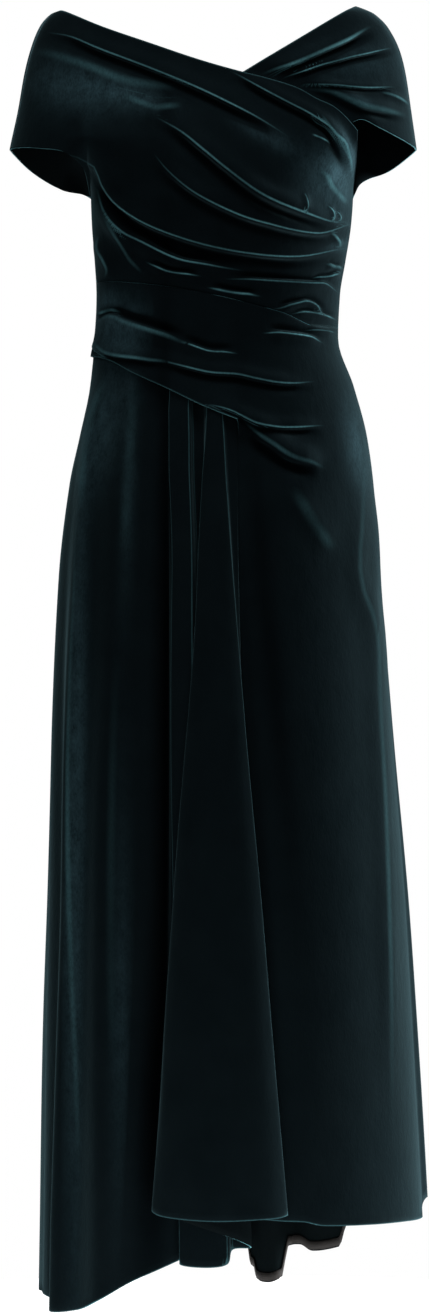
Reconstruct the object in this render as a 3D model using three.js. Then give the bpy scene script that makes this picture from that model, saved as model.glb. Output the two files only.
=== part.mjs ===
// A long off-shoulder velvet dress, filled out as if worn, with nobody in it.
// Millimetres, +Z up. The front faces -Y. The origin is where the dress is held:
// between the upper arms, at the height where the sleeves rest on them.

import * as THREE from 'three';

// ---------- Driving dimensions ----------

const CLOTH = 1.6;          // thickness of the velvet
const TAPE = 1.0;           // thickness of the hem tape
const SEAM_GAP = 0.3;       // between two pieces that are sewn together
const UNDERARM_Z = -150;    // where both side seams start
const SLEEVE_END_Z = -90;   // above this the arms are inside the bodice's form
const SLEEVE_RAMP = 35;     // from the underarm out to where a sleeve is at its full depth
const TUCK = 6;             // how far the pleats reach up under the hip drape
const TUCK_RAMP = 25;       // from the side seam to where they reach that far
const ROW_SPREAD = { drape: 1.15, pleats: 1.1 }; // over 1, rows lie closer together at the top
const EDGE_LIFT = 4.6;      // how far the drape's slanted edge stands off them
const UNDER_INSET = 7.5;    // how far the covered front lies behind the outer one
const COVER_RAMP = 24;      // over this width the covered front sinks from view
const TAPE_HEIGHT = 9;
const TAPE_RISE = 1.5;      // from the edge of the hem up to the tape
const TAPE_CLEAR = 0.8;     // between the tape and the back of the velvet
const WAIST_LEVEL = -262;   // heights at which a panel's columns are read across
const DRAPE_LEVEL = -330;
const PLEAT_LEVEL = -350;
const HIP_LEVEL = -330;     // the back's waves grow from here
const WAVE_GROWTH = 900;    // over this height

// Profile of a fold, in widths of that fold, and how it ends along its path.
const TROUGH = { depth: 0.7, away: 1.35, spread: 0.6 };
const FOLD_END = { length: 0.2, start: 0.25 };
const FRONT_RELIEF = { low: -3.6, high: 11 };
const BACK_RELIEF = { low: -6, high: 8 };
const SEAM_FADE = 0.16;     // relief dies out over this turn beside a seam
const COVERED_FADE = 0.12;
const BACK_FADE = 0.08;
const ARMS_END = { z: -100, over: 40 }; // where the seams change from the arms' to the body's
const EDGE_REACH = { up: 22, along: 16 }; // how far the lift of the drape's edge is felt
const DRAPE_CORNER = { z: -399, over: 14, across: 26, calm: 0.8, side: 0.15 };
const SLEEVE_PART = { over: 0.2, under: 0.22, back: 0.16 }; // share of a neckline above a sleeve

// Widest outline with both arms inside: left and right reach, depth in front and behind.
const SHOULDER_FORM = [
  { z: 58, left: 162, right: 152, front: 45, back: 45 },
  { z: 54, left: 168, right: 163, front: 50, back: 50 },
  { z: 50, left: 178, right: 171, front: 60, back: 58 },
  { z: 35, left: 191, right: 186, front: 72, back: 68 },
  { z: 9, left: 201, right: 199, front: 84, back: 80 },
  { z: -15, left: 207, right: 205, front: 93, back: 88 },
  { z: -55, left: 214, right: 211, front: 108, back: 98 },
  { z: -97, left: 223, right: 217, front: 124, back: 106 },
  { z: -150, left: 232, right: 224, front: 134, back: 110 },
  { z: -220, left: 236, right: 228, front: 134, back: 110 },
];

// Body and skirt below the arms.
const BODY_FORM = [
  { z: -90, left: 137, right: 149, front: 128, back: 108 },
  { z: -150, left: 135, right: 148, front: 131, back: 106 },
  { z: -178, left: 134, right: 146, front: 122, back: 102 },
  { z: -217, left: 131, right: 140, front: 106, back: 97 },
  { z: -254, left: 129, right: 134, front: 97, back: 95 },
  { z: -300, left: 131, right: 132, front: 98, back: 101 },
  { z: -353, left: 136, right: 149, front: 108, back: 118 },
  { z: -406, left: 147, right: 163, front: 120, back: 132 },
  { z: -457, left: 158, right: 170, front: 130, back: 142 },
  { z: -560, left: 170, right: 178, front: 144, back: 154 },
  { z: -742, left: 178, right: 191, front: 158, back: 171 },
  { z: -907, left: 181, right: 204, front: 166, back: 183 },
  { z: -1044, left: 184, right: 212, front: 171, back: 191 },
  { z: -1226, left: 186, right: 222, front: 177, back: 201 },
  { z: -1345, left: 188, right: 228, front: 181, back: 208 },
];

// ---------- Lines that bound the pieces, seen from the front as x and z ----------

const NECK_OVER = [
  [-168, 53], [-125, 31.5], [-71, 10.5], [-17, -9], [27, -22], [51, -28],
  [87, -39], [107, -50], [125, -58], [139, -70], [151, -84],
];
const NECK_UNDER = [
  [152, 58], [91, 17.5], [30, -21], [0, -39], [-60, -90], [-110, -144], [-133.5, -178],
];
const NECK_BACK = [
  [-168, 54], [-125, 34], [-71, 6], [-30, -14], [-5, -20], [20, -14], [61, 8], [115, 36], [152, 58],
];
const SLEEVE_HEM_OVER = [
  [-223, -97], [-203, -99], [-184, -102], [-170, -104], [-155, -110], [-142, -122], [-135, -150],
];
const SLEEVE_HEM_UNDER = [
  [217, -97], [198, -89], [175, -79], [156, -71], [144, -80], [141, -110], [146, -150],
];
const SLEEVE_HEM_BACK_LEFT = [
  [-223, -97], [-203, -115], [-180, -129], [-158, -138], [-144, -144], [-135, -150],
];
const SLEEVE_HEM_BACK_RIGHT = [
  [217, -97], [190, -115], [167, -124], [155, -134], [148, -150],
];
const COVERED_CHEST = [[148, -150], [60, -172], [-40, -196], [-133, -212]];
const WAIST_SEAM = [
  [-130, -240], [-52, -250], [9, -262], [62, -275], [79, -280], [90, -285], [105, -290], [133, -290],
];
const DRAPE_EDGE = [[-131, -321], [-112, -327], [-86, -342], [-50, -360], [-14, -379], [22, -395]];
const DRAPE_FOLD = [[22, -395], [43, -411], [74, -434], [101, -452], [130, -459], [170, -465]];
const RIGHT_FRONT_HEM = [
  [50, -1236], [91, -1238], [114, -1243], [165, -1245], [198, -1246], [222, -1248],
];
// The back hem by its place across the back, -1 to 1 from side seam to side seam.
const BACK_HEM = [
  [-1, -1330], [-0.47, -1340], [-0.33, -1338], [-0.19, -1318], [-0.06, -1308], [0, -1303], [0.052, -1304],
  [0.064, -1324], [0.086, -1327], [0.094, -1337], [0.14, -1339], [0.182, -1334], [0.196, -1300], [0.25, -1298],
  [0.3, -1304], [0.385, -1299], [0.41, -1272], [0.68, -1260], [0.93, -1230], [1, -1246],
];

// ---------- Folds: a ridge along each path, with a hollow above it (1), below it (-1) or none (0) ----------

const BODICE_FOLDS = [
  { path: [[-178, 26], [-155, 21], [-124, 8], [-62, -18], [-9, -42], [36, -66], [75, -92]], height: 4.5, width: 9, hollow: -1 },
  { path: [[-196, 8], [-163, -3], [-133, -15], [-101, -29], [-70, -36], [-43, -39]], height: 2.5, width: 13, hollow: 0 },
  {
    path: [[18, -23], [46, -37], [80, -55], [101, -66], [124, -83], [131, -95], [139, -110], [147, -130]],
    height: 4, width: 8, hollow: -1,
  },
  { path: [[112, -69], [127, -88], [136, -98], [146, -125]], height: 2.5, width: 6, hollow: 0 },
  {
    path: [[-62, -73], [-34, -88], [-13, -104], [13, -126], [50, -153], [93, -170], [125, -179], [141, -177]],
    height: 7, width: 11, hollow: -1,
  },
  { path: [[-64, -114], [-51, -128], [-16, -154], [28, -175], [87, -189], [115, -190], [144, -179]], height: 4, width: 9, hollow: -1 },
  {
    path: [
      [-168, -108], [-145, -112], [-126, -122], [-119, -137], [-105, -157], [-77, -179], [-30, -199],
      [19, -211], [69, -216], [97, -215], [140, -205],
    ],
    height: 4.5, width: 9, hollow: -1,
  },
  { path: [[-130, -142], [-117, -172], [-98, -194], [-79, -205], [-39, -225], [-5, -231], [28, -234]], height: 5, width: 9, hollow: 1 },
  { path: [[-74, -224], [-64, -230], [-51, -236], [-35, -239], [-16, -240]], height: 3.5, width: 6, hollow: 1 },
  { path: [[10, -243], [50, -246], [84, -247], [116, -246], [132, -253]], height: 3, width: 7, hollow: 1 },
  { path: [[-8, -252], [6, -256], [23, -259], [47, -261]], height: 2, width: 5, hollow: 1 },
  { path: [[62, -274], [81, -270], [96, -266], [105, -269], [116, -278]], height: 3, width: 6, hollow: 1 },
];
const FAN_FOLDS = [
  { path: [[47, -26], [62, -19], [92, -6], [134, 15], [165, 32]], height: 4.5, width: 8, hollow: -1 },
  { path: [[65, -32], [80, -25], [111, -12], [145, -1], [188, 10]], height: 3, width: 6, hollow: -1 },
  { path: [[85, -39], [95, -35], [130, -34], [155, -35], [191, -33]], height: 3.5, width: 6, hollow: -1 },
  { path: [[91, -41], [120, -41], [142, -49], [178, -58], [203, -63]], height: 4, width: 8, hollow: -1 },
];
const HIP_FOLDS = [
  { path: [[51, -300], [79, -302], [98, -304], [114, -308]], height: 3, width: 7, hollow: 1 },
  { path: [[-128, -284], [-115, -281], [-98, -289], [-55, -304], [-31, -312], [-16, -319], [22, -322]], height: 4, width: 9, hollow: 1 },
  { path: [[-128, -307], [-106, -319], [-51, -330], [-5, -340], [23, -342], [62, -350], [103, -351]], height: 5, width: 9, hollow: -1 },
  { path: [[-8, -377], [13, -381], [43, -394], [65, -398], [114, -398]], height: 4, width: 8, hollow: -1 },
  { path: [[30, -396], [44, -404], [80, -428], [98, -434], [114, -443]], height: 7, width: 12, hollow: -1 },
  {
    path: [
      [160, -412], [158, -452], [155, -502], [151, -545], [156, -579], [170, -625], [172, -688],
      [178, -800], [184, -1000], [188, -1150],
    ],
    height: 4, width: 14, hollow: 0,
  },
  { path: [[80, -465], [98, -494], [120, -525]], height: 3, width: 16, hollow: 0 },
];
const BACK_FOLDS = [
  { path: [[-180, 10], [-90, -15], [0, -48], [90, -18], [180, 12]], height: 4, width: 13, hollow: -1 },
  { path: [[-150, -70], [-60, -100], [30, -108], [150, -75]], height: 3, width: 15, hollow: -1 },
  { path: [[-130, -190], [-50, -205], [40, -212], [136, -210]], height: 4, width: 10, hollow: -1 },
  { path: [[-128, -225], [-40, -240], [40, -250], [132, -258]], height: 3.5, width: 9, hollow: -1 },
  { path: [[-128, -268], [-30, -276], [60, -290], [132, -300]], height: 3, width: 9, hollow: -1 },
];

// The waves of the skirt's back hang from the hip: place across the back (-1 to 1),
// how far each stands out or in at the hem, its half width, and 2 for a soft wave or 4 for a flat one.
const BACK_WAVES = [
  { at: -0.8, out: 14, half: 0.11, shape: 2 },
  { at: -0.56, out: -15, half: 0.09, shape: 2 },
  { at: -0.32, out: 19, half: 0.11, shape: 2 },
  { at: -0.09, out: -20, half: 0.07, shape: 2 },
  { at: 0.03, out: 12, half: 0.045, shape: 2 },
  { at: 0.14, out: -32, half: 0.055, shape: 4 },
  { at: 0.3, out: -12, half: 0.08, shape: 2 },
  { at: 0.46, out: 18, half: 0.06, shape: 2 },
  { at: 0.62, out: -16, half: 0.07, shape: 2 },
  { at: 0.78, out: 8, half: 0.07, shape: 2 },
  { at: 0.92, out: 9, half: 0.05, shape: 2 },
];

// Crease lines of the pleated front, from the side seam to the seam behind the flare.
// x and d (out from the smooth form) are given at the four heights of PLEAT_HEIGHTS.
const PLEAT_HEIGHTS = [-380, -560, -890, -1250];
const PLEAT_LINES = [
  { line: 'side seam', x: [-200, -200, -200, -200], d: [0, 0, 0, 0], hem: -1330 },
  { line: 'side valley', x: [-137, -162, -170, -178], d: [0, -2, -5, -7], hem: -1334 },
  { line: 'side ridge', x: [-128, -147, -156, -168], d: [0.5, 4, 8, 9], hem: -1342 },
  { line: 'side flank', x: [-113, -130, -141, -150], d: [0, 0, -1, -3], hem: -1338 },
  { line: 'long ridge', x: [-93, -106, -122, -119], d: [1.6, 3, 4, 7], hem: -1323 },
  { line: 'long flank', x: [-77, -85, -96, -93], d: [0, -2, -3, -3], hem: -1304 },
  { line: 'slope', x: [-63, -66, -71, -70], d: [-4, -7, -9, -9], hem: -1292 },
  { line: 'pleat valley', x: [-50, -44, -41, -37], d: [-9, -13, -15, -26], hem: -1277 },
  { line: 'pleat edge', x: [-50, -46, -46, -43], d: [0.5, 2, -3, -16], hem: -1283 },
  { line: 'pleat top', x: [-43, -38, -38, -30], d: [0.9, 3.5, -1.5, -15], hem: -1286 },
  { line: 'pleat far edge', x: [-29, -25, -20, 11], d: [0.9, 2.5, -5, -19], hem: -1283 },
  { line: 'under layer', x: [-26, -19, 3, 17], d: [-6, -8, -14, -30], hem: -1269 },
  { line: 'inner turn', x: [-21, -12, 13, 38], d: [-10, -11.5, -13.5, -30], hem: -1267 },
  { line: 'return', x: [-15, -10, 3, 28], d: [-8, -7, -8, -19], hem: -1260 },
  { line: 'return end', x: [-12, -15, -22, -20], d: [-4, -2, -1, -3], hem: -1242 },
  { line: 'flare left edge', x: [-10, -19.5, -43, -65], d: [-1, 3, 5, 11], hem: -1225 },
  { line: 'flare left', x: [-8, -15, -36, -56], d: [1, 7, 12, 21], hem: -1229 },
  { line: 'flare mid left', x: [-5, -8, -18, -28], d: [1.7, 10, 18, 32], hem: -1232 },
  { line: 'flare crest', x: [-2, 0, 0, 5], d: [1.8, 11, 21, 37], hem: -1233 },
  { line: 'flare mid right', x: [1, 8, 20, 41], d: [1.7, 10, 18, 31], hem: -1232 },
  { line: 'flare right', x: [4, 14.5, 38, 65], d: [1, 7, 12, 21], hem: -1231 },
  { line: 'flare right edge', x: [6, 18, 46, 74.5], d: [-1, 3, 5, 12], hem: -1229 },
  { line: 'turn under', x: [10, 19, 43, 66], d: [-5, -3, -3, 1], hem: -1232 },
  { line: 'hidden seam', x: [22, 25, 37, 50], d: [-7, -9, -11, -15], hem: -1236 },
];

const VELVET = { color: 0x0b2429, roughness: 0.85, metalness: 0 };
const TAPE_FINISH = { color: 0x2b2624, roughness: 0.7, metalness: 0 };

// ---------- Small helpers ----------

const clamp = (value, low, high) => Math.min(high, Math.max(low, value));
const mix = (a, b, t) => a + (b - a) * t;
const ease = (t) => {
  const s = clamp(t, 0, 1);
  return s * s * (3 - 2 * s);
};

// A smooth curve through (at, value) pairs that never overshoots them.
function through(at, values) {
  const rising = at[0] < at[at.length - 1];
  const xs = rising ? at : [...at].reverse();
  const ys = rising ? values : [...values].reverse();
  const last = xs.length - 1;
  const slopes = xs.slice(1).map((x, i) => (ys[i + 1] - ys[i]) / (x - xs[i]));
  const tangents = xs.map((x, i) => {
    if (i === 0) return slopes[0];
    if (i === last) return slopes[last - 1];
    const product = slopes[i - 1] * slopes[i];
    return product <= 0 ? 0 : (2 * product) / (slopes[i - 1] + slopes[i]);
  });
  return (x) => {
    const c = clamp(x, xs[0], xs[last]);
    let i = 0;
    while (i < last - 1 && c > xs[i + 1]) i += 1;
    const h = xs[i + 1] - xs[i];
    const t = (c - xs[i]) / h;
    const a = ys[i] * (1 + 2 * t) * (1 - t) ** 2 + ys[i + 1] * (3 - 2 * t) * t * t;
    return a + h * (tangents[i] * t * (1 - t) ** 2 - tangents[i + 1] * t * t * (1 - t));
  };
}

// A line given as [x, z] points: z as a function of x, or a point at a part of its length.
const heightAlong = (points) => through(points.map((p) => p[0]), points.map((p) => p[1]));
function smoothLine(points) {
  const curve = new THREE.CatmullRomCurve3(points.map(([x, z]) => new THREE.Vector3(x, 0, z)), false, 'centripetal');
  return (t) => {
    const p = curve.getPointAt(clamp(t, 0, 1));
    return [p.x, p.z];
  };
}

const formOf = (rows) => {
  const heights = rows.map((row) => row.z);
  const column = (name) => through(heights, rows.map((row) => row[name]));
  const left = column('left');
  const right = column('right');
  const front = column('front');
  const back = column('back');
  return (z, side) => ({
    centre: (right(z) - left(z)) / 2,
    half: (right(z) + left(z)) / 2,
    depth: side < 0 ? front(z) : back(z),
  });
};
const shoulderForm = formOf(SHOULDER_FORM);
const bodyForm = formOf(BODY_FORM);

// ---------- The smooth form that the cloth lies on ----------

// Depth of one elliptical form at x, with its outward direction seen from above.
function ellipse(form, x) {
  const s = clamp((x - form.centre) / form.half, -1, 1);
  const c = Math.sqrt(1 - s * s);
  const length = Math.hypot(s / form.half, c / form.depth);
  return { depth: form.depth * c, out: [s / form.half / length, c / form.depth / length] };
}

// A point of the cloth at x and z, d outside the smooth form. side is -1 in front, 1 behind.
function place(side, x, z, d) {
  const bodyHere = bodyForm(z, side);
  const body = ellipse(bodyHere, x);
  const arms = ellipse(shoulderForm(z, side), x);
  const pastBody = z > UNDERARM_Z ? Math.abs(x - bodyHere.centre) - bodyHere.half : 0;
  const w = mix(ease((z - UNDERARM_Z) / (SLEEVE_END_Z - UNDERARM_Z)), 1, ease(pastBody / SLEEVE_RAMP));
  const depth = mix(body.depth, arms.depth, w) + SEAM_GAP / 2;
  const out = [mix(body.out[0], arms.out[0], w), mix(body.out[1], arms.out[1], w)];
  const length = Math.hypot(out[0], out[1]);
  return new THREE.Vector3(x + (d * out[0]) / length, side * (depth + (d * out[1]) / length), z);
}

// x at an angle round the form: -1 and 1 are the two side seams.
const bodyX = (side, turn, z) => {
  const form = bodyForm(z, side);
  return form.centre + form.half * Math.sin((turn * Math.PI) / 2);
};
const armsX = (side, turn, z) => {
  const form = shoulderForm(z, side);
  return form.centre + form.half * Math.sin((turn * Math.PI) / 2);
};
const armsTurn = (side, x, z) => {
  const form = shoulderForm(z, side);
  return Math.asin(clamp((x - form.centre) / form.half, -1, 1)) / (Math.PI / 2);
};
const bodyTurn = (side, x, z) => {
  const form = bodyForm(z, side);
  return Math.asin(clamp((x - form.centre) / form.half, -1, 1)) / (Math.PI / 2);
};

// ---------- Fold relief ----------

const prepareFolds = (folds) => folds.map((fold) => {
  const line = smoothLine(fold.path);
  const points = Array.from({ length: 33 }, (_, i) => line(i / 32));
  return { ...fold, points };
});

// Nearest place on a fold's path: its signed distance (above is positive) and part of the length.
function nearest(points, x, z) {
  const rightward = points[points.length - 1][0] >= points[0][0] ? 1 : -1;
  let best = { distance: Infinity, above: 0, part: 0 };
  for (let i = 0; i < points.length - 1; i += 1) {
    const [ax, az] = points[i];
    const dx = points[i + 1][0] - ax;
    const dz = points[i + 1][1] - az;
    const t = clamp(((x - ax) * dx + (z - az) * dz) / (dx * dx + dz * dz), 0, 1);
    const ox = x - ax - t * dx;
    const oz = z - az - t * dz;
    const distance = Math.hypot(ox, oz);
    if (distance < best.distance) {
      const side = dx * oz - dz * ox;
      best = { distance, above: side * rightward, part: (i + t) / (points.length - 1) };
    }
  }
  return best;
}

function relief(folds, x, z) {
  let sum = 0;
  for (const fold of folds) {
    const near = nearest(fold.points, x, z);
    const s = (Math.sign(near.above) * near.distance) / fold.width * (fold.hollow > 0 ? -1 : 1);
    const end = (part) => ease(part / FOLD_END.length + FOLD_END.start);
    const ends = end(near.part) * end(1 - near.part);
    const ridge = Math.exp(-s * s);
    const trough = Math.abs(fold.hollow) * TROUGH.depth * Math.exp(-((s + TROUGH.away) ** 2) / TROUGH.spread);
    sum += fold.height * ends * (ridge - trough);
  }
  return sum;
}

const bodiceFolds = prepareFolds(BODICE_FOLDS);
const fanFolds = prepareFolds(FAN_FOLDS);
const hipFolds = prepareFolds(HIP_FOLDS);
const backFolds = prepareFolds(BACK_FOLDS);

// 0 at the seams on both sides, 1 away from them: by the arms above, by the body below.
const belowArms = (z) => ease((ARMS_END.z - z) / ARMS_END.over);
const seamFade = (side, x, z) => {
  const below = belowArms(z);
  const arms = ease((1 - Math.abs(armsTurn(side, x, z))) / SEAM_FADE);
  const body = ease((1 - Math.abs(bodyTurn(side, x, z))) / SEAM_FADE);
  return mix(arms, body, below);
};
const frontFolds = [...bodiceFolds, ...hipFolds];
const within = (value, limits) => clamp(value, limits.low, limits.high);
const frontRelief = (x, z) => within(relief(frontFolds, x, z), FRONT_RELIEF) * seamFade(-1, x, z);
const backRelief = (x, z) => within(relief(backFolds, x, z), BACK_RELIEF) * seamFade(1, x, z);

// ---------- A wall of cloth from a grid of outer points ----------

// rows[j][i] is a point or null. Cells with four points are cloth. flat(i, j) names an axis
// that the wall's thickness leaves alone, so that two sewn edges stay parallel.
function cloth(name, rows, thickness, finish, flat = () => null) {
  const nj = rows.length;
  const ni = rows[0].length;
  const at = (i, j) => (j >= 0 && j < nj && i >= 0 && i < ni ? rows[j][i] : null);
  const cell = (i, j) => at(i, j) && at(i + 1, j) && at(i, j + 1) && at(i + 1, j + 1);

  const inward = (i, j) => {
    const sum = new THREE.Vector3();
    for (const [a, b] of [[i - 1, j - 1], [i, j - 1], [i - 1, j], [i, j]]) {
      if (cell(a, b)) {
        const across = at(a + 1, b).clone().sub(at(a, b + 1));
        const down = at(a + 1, b + 1).clone().sub(at(a, b));
        sum.add(across.cross(down).normalize());
      }
    }
    const axis = flat(i, j);
    if (axis) sum[axis] = 0;
    return sum.normalize();
  };

  const positions = [];
  const outer = rows.map((row) => row.map(() => -1));
  const inner = rows.map((row) => row.map(() => -1));
  const keep = (p) => positions.push(p.x, p.y, p.z) / 3 - 1;
  for (let j = 0; j < nj; j += 1) {
    for (let i = 0; i < ni; i += 1) {
      const point = at(i, j);
      if (point) {
        outer[j][i] = keep(point);
        inner[j][i] = keep(point.clone().addScaledVector(inward(i, j), thickness));
      }
    }
  }

  const index = [];
  const quad = (a, b, c, d) => index.push(a, b, c, a, c, d);
  for (let j = 0; j < nj - 1; j += 1) {
    for (let i = 0; i < ni - 1; i += 1) {
      if (cell(i, j)) {
        quad(outer[j][i], outer[j + 1][i], outer[j + 1][i + 1], outer[j][i + 1]);
        quad(inner[j][i], inner[j][i + 1], inner[j + 1][i + 1], inner[j + 1][i]);
        if (!cell(i, j - 1)) quad(outer[j][i], outer[j][i + 1], inner[j][i + 1], inner[j][i]);
        if (!cell(i, j + 1)) quad(outer[j + 1][i + 1], outer[j + 1][i], inner[j + 1][i], inner[j + 1][i + 1]);
        if (!cell(i - 1, j)) quad(outer[j + 1][i], outer[j][i], inner[j][i], inner[j + 1][i]);
        if (!cell(i + 1, j)) quad(outer[j][i + 1], outer[j + 1][i + 1], inner[j + 1][i + 1], inner[j][i + 1]);
      }
    }
  }
  const geometry = new THREE.BufferGeometry();
  geometry.setAttribute('position', new THREE.Float32BufferAttribute(positions, 3));
  geometry.setIndex(index);
  geometry.computeVertexNormals();
  const mesh = new THREE.Mesh(geometry, new THREE.MeshStandardMaterial(finish));
  mesh.name = name;
  return mesh;
}

// ---------- Bodice panels: wide over the arms, narrow below them ----------

// top, middle and bottom give [x, z] at column i. Columns outside first..last stop at the middle.
// An outermost column of a sleeve runs down the seam on the outside of the arm.
function bodiceRows({ side, columns, first, last, upper, lower, top, middle, bottom, depthOf }) {
  const armSeam = (i) => (i === 0 && first > 0) || (i === columns && last < columns);
  const rows = [];
  for (let j = 0; j <= upper; j += 1) {
    rows.push(Array.from({ length: columns + 1 }, (_, i) => {
      const [topX, topZ] = top(i);
      const [middleX, middleZ] = middle(i);
      const t = j / upper;
      const z = mix(topZ, middleZ, t);
      if (armSeam(i)) return place(side, armsX(side, Math.sign(topX), z), z, 0);
      const turn = mix(armsTurn(side, topX, topZ), armsTurn(side, middleX, middleZ), t);
      const x = j === upper ? middleX : armsX(side, turn, z);
      return place(side, x, z, depthOf(x, z));
    }));
  }
  for (let j = 1; j <= lower; j += 1) {
    rows.push(Array.from({ length: columns + 1 }, (_, i) => {
      if (i < first || i > last) return null;
      const [middleX, middleZ] = middle(i);
      const [bottomX, bottomZ] = bottom(i);
      const t = j / lower;
      const z = mix(middleZ, bottomZ, t);
      const turn = mix(bodyTurn(side, middleX, middleZ), bodyTurn(side, bottomX, bottomZ), t);
      const x = bodyX(side, turn, z);
      return place(side, x, z, depthOf(x, z));
    }));
  }
  return rows;
}

const waistHeight = heightAlong(WAIST_SEAM);
const waistPoint = (side, turn, above) => {
  const x = bodyX(side, turn, WAIST_LEVEL);
  const z = waistHeight(x) + above;
  return [bodyX(side, turn, z), z];
};

function bodiceFrontOver() {
  const sleeve = 8;
  const body = 28;
  const columns = sleeve + body;
  const neck = smoothLine(NECK_OVER);
  const hem = smoothLine(SLEEVE_HEM_OVER);
  const turnOf = (i) => mix(-1, 1, (i - sleeve) / body);
  const rows = bodiceRows({
    side: -1,
    columns,
    first: sleeve,
    last: columns,
    upper: 14,
    lower: 9,
    top: (i) => {
      const above = SLEEVE_PART.over;
      return neck(i < sleeve ? above * (i / sleeve) : mix(above, 1, (i - sleeve) / body));
    },
    middle: (i) => (i < sleeve ? hem(i / sleeve) : [bodyX(-1, turnOf(i), UNDERARM_Z), UNDERARM_Z]),
    bottom: (i) => waistPoint(-1, turnOf(i), SEAM_GAP / 2),
    depthOf: (x, z) => frontRelief(x, z),
  });
  const flat = (i, j) => {
    if (i === 0 || ((i === sleeve || i === columns) && j >= 14)) return 'y';
    return j === rows.length - 1 ? 'z' : null;
  };
  return cloth('bodice_front_over', rows, CLOTH, VELVET, flat);
}

const overNeck = prepareFolds([{ path: NECK_OVER }])[0].points;

// The covered front sinks behind the other where they cross, and rises to it at the seams.
function underRelief(x, z) {
  const near = nearest(overNeck, x, z);
  const covered = near.above > 0 ? -near.distance : near.distance;
  const cover = ease((covered + COVER_RAMP) / COVER_RAMP);
  const seam = mix(1, ease((1 - Math.abs(bodyTurn(-1, x, z))) / COVERED_FADE), belowArms(z));
  const sunk = mix(CLOTH + 2 * SEAM_GAP, UNDER_INSET, seam);
  const folds = relief(fanFolds, x, z) * (1 - cover) * ease((1 - Math.abs(armsTurn(-1, x, z))) / COVERED_FADE);
  return folds - cover * sunk;
}

function bodiceFrontUnder() {
  const sleeve = 8;
  const body = 16;
  const columns = sleeve + body;
  const neck = smoothLine(NECK_UNDER);
  const hem = smoothLine(SLEEVE_HEM_UNDER);
  const chest = smoothLine(COVERED_CHEST);
  const turnOf = (i) => mix(-1, 1, i / body);
  const rows = bodiceRows({
    side: -1,
    columns,
    first: 0,
    last: body,
    upper: 11,
    lower: 7,
    top: (i) => {
      const above = SLEEVE_PART.under;
      return neck(i > body ? above * ((columns - i) / sleeve) : mix(1, above, i / body));
    },
    middle: (i) => {
      if (i > body) return hem((columns - i) / sleeve);
      const z = chest(1 - i / body)[1];
      return [bodyX(-1, turnOf(i), z), z];
    },
    bottom: (i) => waistPoint(-1, turnOf(i), SEAM_GAP / 2),
    depthOf: underRelief,
  });
  const flat = (i, j) => {
    if (i === columns || ((i === 0 || i === body) && j >= 11)) return 'y';
    return j === rows.length - 1 ? 'z' : null;
  };
  return cloth('bodice_front_under', rows, CLOTH, VELVET, flat);
}

function bodiceBack() {
  const sleeve = 6;
  const body = 16;
  const columns = sleeve + body + sleeve;
  const neck = smoothLine(NECK_BACK);
  const hemLeft = smoothLine(SLEEVE_HEM_BACK_LEFT);
  const hemRight = smoothLine(SLEEVE_HEM_BACK_RIGHT);
  const turnOf = (i) => mix(1, -1, (i - sleeve) / body);
  const above = SLEEVE_PART.back;
  const part = (i) => {
    if (i < sleeve) return mix(0, above, i / sleeve);
    if (i <= sleeve + body) return mix(above, 1 - above, (i - sleeve) / body);
    return mix(1 - above, 1, (i - sleeve - body) / sleeve);
  };
  const rows = bodiceRows({
    side: 1,
    columns,
    first: sleeve,
    last: sleeve + body,
    upper: 8,
    lower: 6,
    top: (i) => neck(1 - part(i)),
    middle: (i) => {
      if (i < sleeve) return hemRight(i / sleeve);
      if (i > sleeve + body) return hemLeft((columns - i) / sleeve);
      return [bodyX(1, turnOf(i), UNDERARM_Z), UNDERARM_Z];
    },
    bottom: (i) => waistPoint(1, turnOf(i), SEAM_GAP / 2),
    depthOf: backRelief,
  });
  const flat = (i, j) => {
    if (i === 0 || i === columns || ((i === sleeve || i === sleeve + body) && j >= 8)) return 'y';
    return j === rows.length - 1 ? 'z' : null;
  };
  return cloth('bodice_back', rows, CLOTH, VELVET, flat);
}

// ---------- Skirt ----------

const drapeEdge = heightAlong(DRAPE_EDGE);
const rightFrontHem = heightAlong(RIGHT_FRONT_HEM);
const pleatTracks = PLEAT_LINES.map((row) => ({
  turn: through(PLEAT_HEIGHTS, PLEAT_HEIGHTS.map((z, k) => bodyTurn(-1, row.x[k], z))),
  d: through(PLEAT_HEIGHTS, row.d),
  hem: row.hem,
}));
const hiddenSeam = pleatTracks[pleatTracks.length - 1];
const hiddenSeamX = (z) => bodyX(-1, hiddenSeam.turn(z), z);

// The drape stands off the pleats along its slanted edge.
function drapeRelief(x, z) {
  const edgeX = clamp(x, DRAPE_EDGE[0][0], DRAPE_EDGE[DRAPE_EDGE.length - 1][0]);
  const aboveEdge = z - drapeEdge(edgeX);
  const pastEdge = Math.max(0, x - edgeX);
  const nearEdge = Math.exp(-((aboveEdge / EDGE_REACH.up) ** 2) - (pastEdge / EDGE_REACH.along) ** 2);
  const atSide = ease((bodyTurn(-1, x, z) + 1) / COVERED_FADE);
  const low = ease((DRAPE_CORNER.z - z) / DRAPE_CORNER.over);
  const valley = (1 - ease((x - hiddenSeamX(z)) / DRAPE_CORNER.across)) * low;
  const lift = EDGE_LIFT * nearEdge * (1 - low) * mix(DRAPE_CORNER.side, 1, atSide);
  const folds = frontRelief(x, z) * (1 - DRAPE_CORNER.calm * valley);
  return mix(folds, Math.max(folds, 0), nearEdge) + lift + hiddenSeam.d(z) * valley;
}

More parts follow.
